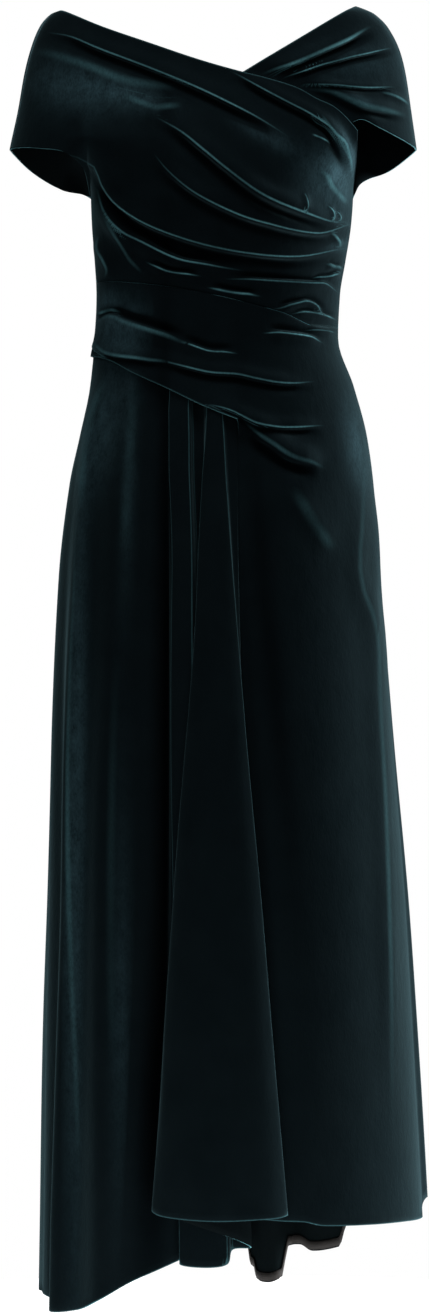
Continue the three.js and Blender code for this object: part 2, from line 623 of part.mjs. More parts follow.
function skirtFrontDrape() {
  const open = 14;
  const closed = 13;
  const upper = 11;
  const lower = 19;
  const columns = open + closed;
  const fold = smoothLine(DRAPE_FOLD);
  const [cornerX, cornerZ] = DRAPE_EDGE[DRAPE_EDGE.length - 1];
  const cornerTurn = bodyTurn(-1, cornerX, cornerZ);
  const turnOf = (i) => (i < open ? mix(-1, cornerTurn, i / open) : mix(cornerTurn, 1, (i - open) / closed));
  const middle = (i) => {
    const z = i <= open ? drapeEdge(bodyX(-1, turnOf(i), DRAPE_LEVEL)) : fold((i - open) / closed)[1];
    return [bodyX(-1, turnOf(i), z), z];
  };
  const rows = [];
  for (let j = 0; j <= upper; j += 1) {
    rows.push(Array.from({ length: columns + 1 }, (_, i) => {
      const t = j / upper;
      const [topX, topZ] = waistPoint(-1, turnOf(i), -SEAM_GAP / 2);
      const [middleX, middleZ] = middle(i);
      const z = mix(topZ, middleZ, t);
      const x = bodyX(-1, mix(bodyTurn(-1, topX, topZ), bodyTurn(-1, middleX, middleZ), t), z);
      return place(-1, x, z, drapeRelief(x, z));
    }));
  }
  for (let j = 1; j <= lower; j += 1) {
    rows.push(Array.from({ length: columns + 1 }, (_, i) => {
      if (i < open) return null;
      const t = (j / lower) ** ROW_SPREAD.drape;
      const [middleX, middleZ] = middle(i);
      const across = (i - open) / closed;
      const hemX = bodyX(-1, mix(hiddenSeam.turn(hiddenSeam.hem), 1, across), hiddenSeam.hem);
      const z = mix(middleZ, rightFrontHem(hemX), t);
      const x = bodyX(-1, mix(hiddenSeam.turn(z), 1, across), z);
      const gap = i === open ? SEAM_GAP / 2 : 0;
      return place(-1, x + gap, z, drapeRelief(x, z) - gap);
    }));
  }
  const flat = (i, j) => {
    if (j === 0) return 'z';
    return i === columns || (i === 0 && j <= upper) ? 'y' : null;
  };
  return cloth('skirt_front_drape', rows, CLOTH, VELVET, flat);
}

function skirtFrontPleats() {
  const between = 2;
  const rowsDown = 15;
  const columns = (pleatTracks.length - 1) * between;
  const [[firstX, firstZ], [lastX]] = [DRAPE_EDGE[0], DRAPE_EDGE[DRAPE_EDGE.length - 1]];
  const topOf = (x) => {
    const tuck = mix(-SEAM_GAP, TUCK, ease((x - firstX) / TUCK_RAMP));
    return drapeEdge(clamp(x, firstX, lastX)) + tuck;
  };
  const rows = [];
  for (let j = 0; j <= rowsDown; j += 1) {
    const t = (j / rowsDown) ** ROW_SPREAD.pleats;
    const line = pleatTracks.map((track) => {
      const z = mix(topOf(bodyX(-1, track.turn(firstZ), PLEAT_LEVEL)), track.hem, t);
      return new THREE.Vector3(bodyX(-1, track.turn(z), z), track.d(z), z);
    });
    const curve = new THREE.CatmullRomCurve3(line, false, 'centripetal');
    rows.push(Array.from({ length: columns + 1 }, (_, i) => {
      const p = curve.getPoint(i / columns);
      if (i === 0) return place(-1, bodyX(-1, -1, p.z), p.z, 0);
      const gap = i === columns ? SEAM_GAP / 2 : 0;
      return place(-1, p.x - gap, p.z, p.y + gap);
    }));
  }
  const flat = (i) => (i === 0 ? 'y' : null);
  return cloth('skirt_front_pleats', rows, CLOTH, VELVET, flat);
}

const backHem = heightAlong(BACK_HEM);

function backPoint(turn, z) {
  const x = bodyX(1, turn, z);
  const grow = ease((HIP_LEVEL - z) / WAVE_GROWTH);
  let d = backRelief(x, z);
  for (const wave of BACK_WAVES) {
    d += wave.out * grow * Math.exp(-((Math.abs(turn - wave.at) / wave.half) ** wave.shape));
  }
  return place(1, x, z, d * ease((1 - Math.abs(turn)) / BACK_FADE));
}

const BACK_COLUMNS = 62;
const backTurn = (i) => mix(1, -1, i / BACK_COLUMNS);

function skirtBack() {
  const rowsDown = 15;
  const rows = [];
  for (let j = 0; j <= rowsDown; j += 1) {
    const t = j / rowsDown;
    rows.push(Array.from({ length: BACK_COLUMNS + 1 }, (_, i) => {
      const turn = backTurn(i);
      const topZ = waistPoint(1, turn, -SEAM_GAP / 2)[1];
      const z = mix(topZ, backHem(turn), t);
      return backPoint(turn, z);
    }));
  }
  const flat = (i, j) => {
    if (i === 0 || i === BACK_COLUMNS) return 'y';
    return j === 0 ? 'z' : null;
  };
  return cloth('skirt_back', rows, CLOTH, VELVET, flat);
}

// The tape lies inside the back hem, clear of the side seams.
function hemTape() {
  const first = 4;
  const last = BACK_COLUMNS - 4;
  const inside = (i, rise) => {
    const z = backHem(backTurn(i)) + rise;
    const here = backPoint(backTurn(i), z);
    const along = backPoint(backTurn(i + 1), z).sub(backPoint(backTurn(i - 1), z)).normalize();
    const inward = new THREE.Vector3(-along.y, along.x, 0);
    return here.addScaledVector(inward, CLOTH + TAPE_CLEAR);
  };
  const rows = [TAPE_RISE + TAPE_HEIGHT, TAPE_RISE].map((rise) => {
    const row = [];
    for (let i = first; i <= last; i += 1) row.push(inside(i, rise));
    return row;
  });
  return cloth('hem_tape', rows, TAPE, TAPE_FINISH);
}

// ---------- The dress ----------

const dress = new THREE.Group();
dress.add(bodiceFrontOver());
dress.add(bodiceFrontUnder());
dress.add(bodiceBack());
dress.add(skirtFrontDrape());
dress.add(skirtFrontPleats());
dress.add(skirtBack());
dress.add(hemTape());

export default dress;
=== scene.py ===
# %% [markdown]
# An off-shoulder velvet dress, filled out as if it were worn. The packed solids already say
# where every panel lies, so the script loads them first and keeps their box, which sets the
# floor's height. All the tables below are in millimetres, which suit a garment.

# %% Load the frame
import math

import bmesh
import bpy
import numpy as np
from mathutils import Matrix, Vector


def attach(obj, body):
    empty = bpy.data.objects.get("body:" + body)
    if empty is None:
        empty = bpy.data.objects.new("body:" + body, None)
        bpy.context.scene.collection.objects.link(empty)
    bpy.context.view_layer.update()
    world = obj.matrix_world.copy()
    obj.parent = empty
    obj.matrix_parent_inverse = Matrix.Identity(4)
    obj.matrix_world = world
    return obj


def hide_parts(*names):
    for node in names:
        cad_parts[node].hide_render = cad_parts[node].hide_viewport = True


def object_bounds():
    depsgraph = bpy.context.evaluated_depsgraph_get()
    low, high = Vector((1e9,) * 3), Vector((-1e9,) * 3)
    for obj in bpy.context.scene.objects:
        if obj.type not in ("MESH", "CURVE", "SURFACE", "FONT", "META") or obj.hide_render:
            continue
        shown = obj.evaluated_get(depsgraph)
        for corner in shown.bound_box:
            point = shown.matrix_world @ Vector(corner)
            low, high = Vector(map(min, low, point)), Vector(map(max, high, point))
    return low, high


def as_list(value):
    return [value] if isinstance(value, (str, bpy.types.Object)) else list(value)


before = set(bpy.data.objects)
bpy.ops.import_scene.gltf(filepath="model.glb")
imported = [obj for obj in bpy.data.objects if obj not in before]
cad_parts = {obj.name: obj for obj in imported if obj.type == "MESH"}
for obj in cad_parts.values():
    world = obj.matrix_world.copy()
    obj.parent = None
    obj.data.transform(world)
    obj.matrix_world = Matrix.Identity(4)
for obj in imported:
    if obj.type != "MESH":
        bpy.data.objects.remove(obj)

MM = 0.001
solid_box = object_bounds()
print("solids:", [[round(v, 3) for v in corner] for corner in solid_box])

# %% [markdown]
# The velvet is one cloth throughout. A few sizes decide how the panels meet: the wall's
# thickness, the gap at a seam, where the side seams start under the arms, and how far the
# crossed front that is covered lies behind the one that covers it. The cells of the sheets are
# small enough for the narrowest fold.

# %% Sizes of the cloth and its joins
CLOTH = 1.6
TAPE = 1.0
SEAM_GAP = 0.3
UNDERARM_Z = -150
SLEEVE_END_Z = -90
SLEEVE_RAMP = 35
TUCK = 6
EDGE_LIFT = 4.6
UNDER_INSET = 7.5
COVER_RAMP = 24
TAPE_HEIGHT = 9
TAPE_RISE = 1.5
TAPE_CLEAR = 0.8
GRID = 1.65
SEAM_FADE = 0.08
print("cloth:", CLOTH, "mm thick, in cells of about", GRID, "mm")

# %% [markdown]
# A garment's smooth form is a stack of ellipses. One stack holds the chest with both arms
# inside it, the other the body and the skirt. Each row is a height with the reach to both
# sides and the depth in front and behind. Smooth curves run through the rows, and they never
# overshoot, so a waist stays a waist.

# %% Outline of the shoulders, the body and the skirt
SHOULDER_FORM = {
    "z": [58, 54, 50, 35, 9, -15, -55, -97, -150, -220],
    "left": [162, 168, 178, 191, 201, 207, 214, 223, 232, 236],
    "right": [152, 163, 171, 186, 199, 205, 211, 217, 224, 228],
    "front": [45, 50, 60, 72, 84, 93, 108, 124, 134, 134],
    "back": [45, 50, 58, 68, 80, 88, 98, 106, 110, 110],
}
BODY_FORM = {
    "z": [-90, -150, -178, -217, -254, -300, -353, -406, -457, -560, -742, -907, -1044, -1226, -1345],
    "left": [137, 135, 134, 131, 129, 131, 136, 147, 158, 170, 178, 181, 184, 186, 188],
    "right": [149, 148, 146, 140, 134, 132, 149, 163, 170, 178, 191, 204, 212, 222, 228],
    "front": [128, 131, 122, 106, 97, 98, 108, 120, 130, 144, 158, 166, 171, 177, 181],
    "back": [108, 106, 102, 97, 95, 101, 118, 132, 142, 154, 171, 183, 191, 201, 208],
}


def ease(t):
    s = np.clip(t, 0, 1)
    return s * s * (3 - 2 * s)


def mix(a, b, t):
    return a + (b - a) * t


def through(at, values):
    """A smooth curve through points that never overshoots them."""
    order = np.argsort(at)
    xs, ys = np.array(at, float)[order], np.array(values, float)[order]
    slopes = np.diff(ys) / np.diff(xs)
    tangents = np.concatenate([slopes[:1], slopes[1:] * 0, slopes[-1:]])
    for i in range(1, len(xs) - 1):
        product = slopes[i - 1] * slopes[i]
        tangents[i] = 0 if product <= 0 else 2 * product / (slopes[i - 1] + slopes[i])

    def curve(x):
        c = np.clip(x, xs[0], xs[-1])
        i = np.clip(np.searchsorted(xs, c) - 1, 0, len(xs) - 2)
        h = xs[i + 1] - xs[i]
        t = (c - xs[i]) / h
        ends = ys[i] * (1 + 2 * t) * (1 - t) ** 2 + ys[i + 1] * (3 - 2 * t) * t * t
        return ends + h * (tangents[i] * t * (1 - t) ** 2 - tangents[i + 1] * t * t * (1 - t))

    return curve


def form_of(rows):
    curves = {key: through(rows["z"], rows[key]) for key in rows if key != "z"}

    def at(side, z):
        left, right = curves["left"](z), curves["right"](z)
        depth = curves["front" if side < 0 else "back"](z)
        return (right - left) / 2, (right + left) / 2, depth

    return at


arms_form = form_of(SHOULDER_FORM)
body_form = form_of(BODY_FORM)
print("waist width:", round(2 * float(body_form(-1, -254)[1])), "mm")

# %% [markdown]
# A point of cloth is placed by where it is seen from the front, x and z, and by d, how far it
# stands out from the smooth form. Near the arms the two stacks of ellipses blend.

# %% Place points of cloth on the form
def ellipse(form, side, x, z):
    centre, half, depth = form(side, z)
    s = np.clip((x - centre) / half, -1, 1)
    c = np.sqrt(1 - s * s)
    length = np.hypot(s / half, c / depth)
    return depth * c, s / half / length, c / depth / length


def place(side, x, z, d):
    centre, half, _ = body_form(side, z)
    depth, out_x, out_y = ellipse(body_form, side, x, z)
    arms_depth, arms_x, arms_y = ellipse(arms_form, side, x, z)
    past_body = np.where(z > UNDERARM_Z, np.abs(x - centre) - half, 0)
    w = mix(ease((z - UNDERARM_Z) / (SLEEVE_END_Z - UNDERARM_Z)), 1, ease(past_body / SLEEVE_RAMP))
    out_x, out_y = mix(out_x, arms_x, w), mix(out_y, arms_y, w)
    length = np.hypot(out_x, out_y)
    y = mix(depth, arms_depth, w) + SEAM_GAP / 2 + d * out_y / length
    return np.stack([x + d * out_x / length, side * y, z + 0 * x], -1)


def x_at(form, side, turn, z):
    """x at an angle round the form: turn is -1 at one side seam and 1 at the other."""
    centre, half, _ = form(side, z)
    return centre + half * np.sin(turn * math.pi / 2)


def turn_at(form, side, x, z):
    centre, half, _ = form(side, z)
    return np.arcsin(np.clip((x - centre) / half, -1, 1)) / (math.pi / 2)


print("front of the bust:", place(-1, np.array([0.0]), np.array([-150.0]), 0)[0].round(1))

# %% [markdown]
# The panels are bounded by lines drawn as a cutter would see them from the front or behind:
# necklines, sleeve hems, the slanted waist seam, the drape's edge and the uneven hem. The back hem
# goes by the place across the back instead, -1 to 1 from one side seam to the other.

# %% Lines that bound the pieces
NECK_OVER = [
    (-168, 53), (-125, 31.5), (-71, 10.5), (-17, -9), (27, -22), (51, -28),
    (87, -39), (107, -50), (125, -58), (139, -70), (151, -84),
]
NECK_UNDER = [(152, 58), (91, 17.5), (30, -21), (0, -39), (-60, -90), (-110, -144), (-133.5, -178)]
NECK_BACK = [
    (-168, 54), (-125, 34), (-71, 6), (-30, -14), (-5, -20), (20, -14), (61, 8), (115, 36), (152, 58),
]
SLEEVE_HEM_OVER = [
    (-223, -97), (-203, -99), (-184, -102), (-170, -104), (-155, -110), (-142, -122), (-135, -150),
]
SLEEVE_HEM_UNDER = [(217, -97), (198, -89), (175, -79), (156, -71), (144, -80), (141, -110), (146, -150)]
SLEEVE_HEM_BACK_LEFT = [(-223, -97), (-203, -115), (-180, -129), (-158, -138), (-144, -144), (-135, -150)]
SLEEVE_HEM_BACK_RIGHT = [(217, -97), (190, -115), (167, -124), (155, -134), (148, -150)]
COVERED_CHEST = [(148, -150), (60, -172), (-40, -196), (-133, -212)]
WAIST_SEAM = [
    (-130, -240), (-52, -250), (9, -262), (62, -275), (79, -280), (90, -285), (105, -290), (133, -290),
]
DRAPE_EDGE = [(-131, -321), (-112, -327), (-86, -342), (-50, -360), (-14, -379), (22, -395)]
DRAPE_FOLD = [(22, -395), (43, -411), (74, -434), (101, -452), (130, -459), (170, -465)]
RIGHT_FRONT_HEM = [(50, -1236), (91, -1238), (114, -1243), (165, -1245), (198, -1246), (222, -1248)]
BACK_HEM = [
    (-1, -1330), (-0.47, -1340), (-0.33, -1338), (-0.19, -1318), (-0.06, -1308), (0, -1303), (0.052, -1304),
    (0.064, -1324), (0.086, -1327), (0.094, -1337), (0.14, -1339), (0.182, -1334), (0.196, -1300),
    (0.25, -1298), (0.3, -1304), (0.385, -1299), (0.41, -1272), (0.68, -1260), (0.93, -1230), (1, -1246),
]


def with_ends(points):
    """The points with one more beyond each end, in line with the last two."""
    p = np.array(points, float)
    return np.vstack([2 * p[0] - p[1], p, 2 * p[-1] - p[-2]])


def soft_span(a, b, c, d, t):
    """The soft curve from b to c, which knows its neighbours a and d. t runs from 0 to 1."""
    steps = (b - a, c - b, d - c)
    ab, bc, cd = (np.maximum(np.linalg.norm(v, axis=-1, keepdims=True), 1e-6) ** 0.5 for v in steps)
    m1 = (c - b) + bc * ((b - a) / ab - (c - a) / (ab + bc))
    m2 = (c - b) + bc * ((d - c) / cd - (d - b) / (bc + cd))
    h = 2 * t**3 - 3 * t**2
    return (h + 1) * b - h * c + (t**3 - 2 * t**2 + t) * m1 + (t**3 - t**2) * m2


def smooth_line(points, steps=24):
    """A soft curve through (x, z) points, read by its part of the whole length."""
    p = with_ends(points)
    t = np.linspace(0, 1, steps + 1)[1:, None]
    track = [p[1]]
    for a, b, c, d in zip(p, p[1:], p[2:], p[3:]):
        track.extend(soft_span(a, b, c, d, t))
    track = np.array(track)
    length = np.concatenate([[0], np.cumsum(np.linalg.norm(np.diff(track, axis=0), axis=1))])
    length /= length[-1]
    return lambda t: (np.interp(t, length, track[:, 0]), np.interp(t, length, track[:, 1]))


def height_along(points):
    return through([p[0] for p in points], [p[1] for p in points])


waist_height = height_along(WAIST_SEAM)
drape_edge = height_along(DRAPE_EDGE)
right_front_hem = height_along(RIGHT_FRONT_HEM)
back_hem = height_along(BACK_HEM)
print("hem at the middle of the back:", round(float(back_hem(0))), "mm")

# %% [markdown]
# Draped velvet is drawn into ridges with a deep hollow on one side, above or below. Each fold
# is a row: its path from the front, the height and width of its ridge, the side its hollow is
# on (1 above, -1 below, 0 for a soft ridge with none), and the highlight painted along its
# crest: how strong, and how many times as wide as the usual line. The painted line stands in for
# the sheen where the cloth bends sharply. No two folds are alike, so the rows are uneven on purpose.

# %% Fold tables
def fold(path, height, width, hollow, shine, line=1.0):
    return {"path": path, "height": height, "width": width, "hollow": hollow, "shine": shine, "line": line}


BODICE_FOLDS = [
    fold([
        (-178, 26), (-155, 21), (-124, 8), (-62, -18), (-9, -42), (36, -66), (75, -92),
    ], 5.5, 8, -1, 1.0, 1.1),
    fold([(-196, 8), (-163, -3), (-133, -15), (-101, -29), (-70, -36), (-43, -39)], 2.5, 12, 0, 0.22, 6),
    fold([(-101, -46), (-78, -56), (-64, -61), (-50, -60), (-36, -59)], 1.5, 8, 0, 0.2, 4.5),
    fold([
        (18, -23), (46, -37), (80, -55), (101, -66), (124, -83), (131, -95), (139, -110), (147, -130),
    ], 5.5, 7, -1, 0.8),
    fold([(112, -69), (119, -78), (127, -88), (136, -98), (141, -111), (146, -125)], 2, 4, 0, 0.8, 1.8),
    fold([(101, -69), (107, -76), (117, -82), (124, -90), (131, -100)], 1.2, 3, 0, 0.4),
    fold([(102, -90), (112, -94), (123, -99)], 1.5, 4, 0, 0.9, 1.3),
    fold([(110, -126), (118, -134), (123, -143), (131, -151), (141, -158)], 2, 7, 0, 0.35, 4),
    fold([
        (-62, -73), (-34, -88), (-13, -104), (13, -126), (50, -153), (93, -170), (125, -179), (141, -177),
    ], 7.5, 9, -1, 0.9, 1.2),
    fold([(94, -152), (95, -160), (94, -169)], 1.8, 3.5, 0, 0.6),
    fold([(119, -163), (124, -170), (123, -179)], 2, 3, 0, 0.8),
    fold([(128, -168), (132, -173), (131, -178)], 1.6, 2.5, 0, 0.5),
    fold([
        (-64, -114), (-51, -128), (-16, -154), (28, -175), (57, -183), (87, -189), (115, -190),
        (144, -179),
    ], 5, 8, -1, 1.0),
    fold([
        (-168, -108), (-145, -112), (-126, -122), (-119, -137), (-105, -157), (-77, -179), (-30, -199),
        (19, -211), (69, -216), (97, -215), (140, -205),
    ], 4.5, 8, -1, 0.9),
    fold([
        (-130, -142), (-117, -172), (-98, -194), (-79, -205), (-39, -225), (-5, -231), (28, -234),
    ], 6, 8, 1, 1.0, 1.1),
    fold([(-120, -169), (-103, -199), (-92, -220), (-79, -235)], 1.5, 6, 0, 0.3, 2.5),
    fold([(-74, -224), (-64, -230), (-51, -236), (-35, -239), (-16, -240)], 4.5, 5, 1, 0.9),
    fold([(-127, -192), (-126, -207), (-120, -219), (-116, -230), (-120, -238)], 2.5, 5, 0, 0.6, 2),
    fold([
        (10, -243), (50, -246), (84, -247), (103, -247), (116, -246), (126, -250), (132, -253),
    ], 3.5, 6, 1, 0.5),
    fold([(104, -240), (121, -238), (134, -232)], 2, 4, 1, 0.5),
    fold([(124, -190), (130, -196), (133, -205)], 2.2, 4, 0, 0.5, 2),
    fold([(118, -224), (128, -227), (136, -226)], 1.8, 4, 1, 0.3, 2),
    fold([(-8, -252), (6, -256), (23, -259), (47, -261)], 2.6, 4.5, 1, 0.9, 1.2),
    fold([
        (62, -274), (70, -273), (81, -270), (88, -268), (96, -266), (105, -269), (112, -275), (117, -279),
    ], 3, 4.5, 1, 0.6),
    fold([(80, -279), (94, -277), (107, -278), (118, -280), (130, -282)], 2, 3.5, 1, 0.5),
]
FAN_FOLDS = [
    fold([(47, -26), (62, -19), (92, -6), (134, 15), (165, 32)], 5, 7, -1, 0.9, 2.2),
    fold([(57, -30), (70, -21), (82, -14), (97, -8)], 1.6, 3, 0, 0.8, 1.2),
    fold([(65, -32), (80, -25), (96, -18), (111, -12), (130, -6), (145, -1), (188, 10)], 3.5, 5, -1, 0.8),
    fold([(85, -39), (95, -35), (111, -34), (130, -34), (155, -35), (191, -33)], 3, 4, -1, 0.8),
    fold([
        (91, -41), (105, -40), (120, -41), (130, -44), (142, -49), (155, -54), (178, -58), (203, -63),
    ], 5, 7, -1, 0.35, 3.5),
    fold([(102, -46), (117, -55), (130, -60), (142, -70), (153, -80)], 1.5, 3, 0, 0.6, 1.5),
    fold([(178, -40), (192, -43), (208, -50)], 2, 4, 0, 0.4, 2),
]
HIP_FOLDS = [
    fold([(51, -300), (66, -301), (79, -302), (98, -304), (114, -308)], 3.5, 6, 1, 1.0),
    fold([(96, -296), (112, -295), (128, -296)], 2, 4, 1, 0.3),
    fold([(-129, -276), (-121, -273), (-111, -272), (-104, -276)], 2.4, 4, -1, 0.5, 2),
    fold([
        (-129, -284), (-115, -281), (-98, -289), (-79, -296), (-55, -304), (-31, -312),
    ], 4, 8, 1, 0.4, 2.6),
    fold([(-40, -309), (-16, -319), (-5, -322), (22, -322)], 3, 6, 1, 0.9),
    fold([(-129, -304), (-124, -315), (-112, -326)], 2, 4, -1, 0.35, 1.5),
    fold([(-129, -305), (-117, -314), (-106, -319), (-79, -324), (-51, -330)], 4, 7, -1, 0.6, 2),
    fold([
        (-66, -327), (-31, -334), (-5, -340), (23, -342), (41, -346), (62, -350), (84, -352), (103, -351),
    ], 5.5, 7, -1, 0.9, 1.1),
    fold([
        (-8, -377), (13, -381), (28, -387), (43, -394), (65, -398), (86, -398), (114, -398),
    ], 4.5, 7, -1, 0.9, 1.1),
    fold([(30, -396), (44, -404), (62, -416), (80, -428), (98, -434), (114, -443)], 8, 11, -1, 0.3, 2.5),
    fold([
        (80, -465), (90, -480), (98, -494), (111, -513), (120, -525), (128, -529),
    ], 2.5, 13, 0, 0.09, 8),
    fold([
        (160, -412), (158, -452), (155, -502), (151, -545), (156, -579), (164, -600), (170, -625),
        (172, -688), (178, -800), (184, -1000), (188, -1150),
    ], 4, 11, 0, 0.1, 3.4),
    fold([(172, -464), (174, -507), (171, -553), (168, -600), (171, -640)], 2, 7, 0, 0.0, 2.5),
]
PLEAT_FOLDS = [
    fold([(-117, -342), (-131, -380), (-138, -421), (-141, -463), (-144, -492)], 2.5, 10, 0, 0.2, 6),
    fold([
        (-144, -470), (-148, -520), (-147, -560), (-149, -640), (-151, -760), (-150, -950), (-148, -1180),
    ], 2.5, 8, 0, 0.22, 2.5),
    fold([
        (-86, -345), (-88, -382), (-90, -425), (-93, -466), (-95, -508), (-96, -540),
    ], 1.6, 9, 0, 0.05, 7),
    fold([(-57, -370), (-58, -560), (-60, -820), (-66, -1210)], -12, 9, 0, 0),
    fold([(-104, -640), (-108, -760), (-110, -900), (-108, -1080)], 1.2, 9, 0, 0.05, 5),
]
BACK_FOLDS = [
    fold([(-180, 10), (-90, -15), (0, -48), (90, -18), (180, 12)], 4, 13, -1, 0.7, 1.5),
    fold([(-150, -70), (-60, -100), (30, -108), (150, -75)], 3, 15, -1, 0.5, 3),
    fold([(-130, -190), (-50, -205), (40, -212), (136, -210)], 4, 10, -1, 0.7),
    fold([(-128, -225), (-40, -240), (40, -250), (132, -258)], 3.5, 9, 1, 0.7),
    fold([(-128, -284), (-30, -294), (60, -308), (132, -320)], 3, 10, 1, 0.4, 1.5),
    fold([(-120, -330), (-126, -420), (-135, -560), (-140, -760)], 3, 14, 0, 0.08, 6),
    fold([(118, -340), (140, -440), (150, -600), (158, -800)], 3, 14, 0, 0.08, 6),
]

# %% [markdown]
# Soft patches with no edge are painted into the velvet's colour: painted highlights, lighter,
# where the amount is positive, and painted shade, nearly black, where it is negative.
# Each row is a patch as seen from the front or the back: its middle, its half length and
# half width, its slope, and how strong it is.

# %% Painted highlights and shade
# painted highlights where the amount is positive, painted shade where it is negative
PAINTED_LIGHT_FRONT = [
    {"x": -155, "z": -34, "long": 48, "wide": 26, "slope": -18, "amount": 0.34},
    {"x": -95, "z": -45, "long": 40, "wide": 14, "slope": -16, "amount": 0.3},
    {"x": 128, "z": -125, "long": 24, "wide": 12, "slope": -62, "amount": 0.42},
    {"x": 118, "z": -140, "long": 34, "wide": 24, "slope": -50, "amount": 0.22},
    {"x": 138, "z": -104, "long": 22, "wide": 8, "slope": -68, "amount": 0.45},
    {"x": 55, "z": -92, "long": 34, "wide": 10, "slope": -30, "amount": 0.22},
    {"x": 127, "z": -198, "long": 16, "wide": 12, "slope": 0, "amount": 0.2},
    {"x": -104, "z": -290, "long": 30, "wide": 26, "slope": -30, "amount": 0.42},
    {"x": -118, "z": -262, "long": 16, "wide": 12, "slope": 0, "amount": 0.25},
    {"x": 150, "z": -420, "long": 44, "wide": 12, "slope": -80, "amount": 0.22},
    {"x": -122, "z": -400, "long": 70, "wide": 22, "slope": 76, "amount": 0.3},
    {"x": -146, "z": -760, "long": 420, "wide": 8, "slope": 89.4, "amount": 0.3},
    {"x": -92, "z": -460, "long": 110, "wide": 7, "slope": 88, "amount": 0.14},
    {"x": -100, "z": -1020, "long": 210, "wide": 9, "slope": 90, "amount": 0.12},
    # the rows below are painted shade: the valleys by the pleats and the dark left side
    {"x": -59, "z": -740, "long": 400, "wide": 8, "slope": 89.4, "amount": -1.1},
    {"x": -72, "z": -1130, "long": 160, "wide": 14, "slope": 88, "amount": -0.8},
    {"x": -168, "z": -800, "long": 420, "wide": 10, "slope": 88.6, "amount": -0.8},
    {"x": 58, "z": -640, "long": 260, "wide": 12, "slope": 96, "amount": -0.5},
]
PAINTED_LIGHT_FAN = [
    {"x": 152, "z": -52, "long": 30, "wide": 6, "slope": -22, "amount": 0.24},
    {"x": 150, "z": -8, "long": 46, "wide": 22, "slope": 0, "amount": 0.14},
]
PAINTED_LIGHT_BACK = [
    {"x": -110, "z": -50, "long": 50, "wide": 20, "slope": 10, "amount": 0.3},
    {"x": 90, "z": -150, "long": 46, "wide": 24, "slope": -20, "amount": 0.25},
    {"x": -70, "z": -420, "long": 90, "wide": 26, "slope": 80, "amount": 0.25},
]

# %% [markdown]
# The relief of many folds is their sum. For each point the nearest place on a fold's path
# gives a signed distance, above or below the crest, and that is all a fold's profile needs.
# The side with the hollow is steep and leans over it. The painted highlight on the crests and
# the painted highlights and shade of the patches aren't shapes, so they go to the finish as numbers
# on the mesh: how far a point is from the nearest crest, how strong the painted highlight of that
# crest is, and how much painted light (positive) and painted shade (negative) lie there.
#
# The distance to a crest keeps its sign. Between the corners of a cell it runs evenly from one
# number to the next, so a thin line shows exactly where it passes 0. Away from the crests the
# shine has faded, so a change of sign there shows nothing.
#
# The sizes of ridges and hollows below are in widths of a fold or parts of its length. The
# limits and the widths of the lines are in millimetres, and a crest's reach is in line widths.

# %% Sizes of ridges, hollows and crest lines
STEEP_SIDE = 0.5
SOFT_SIDE = 1.15
HOLLOW = {"depth": 0.85, "away": 1.1, "spread": 0.4}
# how dark the painted shade in a fold's hollow is
HOLLOW_PAINTED_SHADE = 0.9
LEAN = {"most": 0.4, "away": 0.1, "spread": 0.55}
REACH = 5
FOLD_END = {"start": 0.1, "length": 0.3}
UNEVEN = {"middle": 0.78, "swing": 0.22, "waves": 11, "shift": 2.3}
FRONT_LIMITS = (-6, 12)
BACK_LIMITS = (-6, 8)
CREST_WIDTH = 0.75
CREST_REACH = 3.2
FAR = 9.0
# painted highlights along the neckline, hems and edges: line width and strength
EDGE_LINE = 1.2
HEM_SHINE = 0.3
NECK_SHINE = 0.2
# numbers on the mesh for the finish: distance to a crest, its painted highlight, painted light and shade
MARKS = ("off", "shine", "brushed")
print("the shine of a crest ends", round(CREST_REACH * CREST_WIDTH, 1), "mm from it")

# %% Find the nearest place on a fold
def prepare(folds):
    ready = []
    for number, row in enumerate(folds):
        x, z = smooth_line(row["path"])(np.linspace(0, 1, 33))
        ready.append({**row, "line_xz": np.stack([x, z], -1), "number": number})
    return ready


def nearest(line, x, z):
    """Signed distance (above is positive), part of the length, and the way down."""
    shape = np.shape(x)
    rightward = 1 if line[-1, 0] >= line[0, 0] else -1
    point = np.stack([np.ravel(x), np.ravel(z)], -1)[:, None]
    start, step = line[:-1][None], np.diff(line, axis=0)[None]
    t = np.clip(((point - start) * step).sum(-1) / (step**2).sum(-1), 0, 1)
    off = point - start - t[..., None] * step
    far = np.hypot(off[..., 0], off[..., 1])
    best = far.argmin(1)
    rows = np.arange(len(best))
    step = step[0][best] * rightward
    step /= np.linalg.norm(step, axis=1)[:, None]
    off, far = off[rows, best], far[rows, best]
    above = np.sign(step[:, 0] * off[:, 1] - step[:, 1] * off[:, 0]) * far
    part = (best + t[rows, best]) / (len(line) - 1)
    return [row.reshape(shape) for row in (above, part, step[:, 1], -step[:, 0])]


over_neck = prepare([fold(NECK_OVER, 0, 1, 0, 0)])[0]["line_xz"]
front_folds = prepare(BODICE_FOLDS + HIP_FOLDS)
fan_folds = prepare(FAN_FOLDS)
back_folds = prepare(BACK_FOLDS)
pleat_folds = prepare(PLEAT_FOLDS)
print("folds on the front:", len(front_folds), "in the fan:", len(fan_folds), "on the back:", len(back_folds))

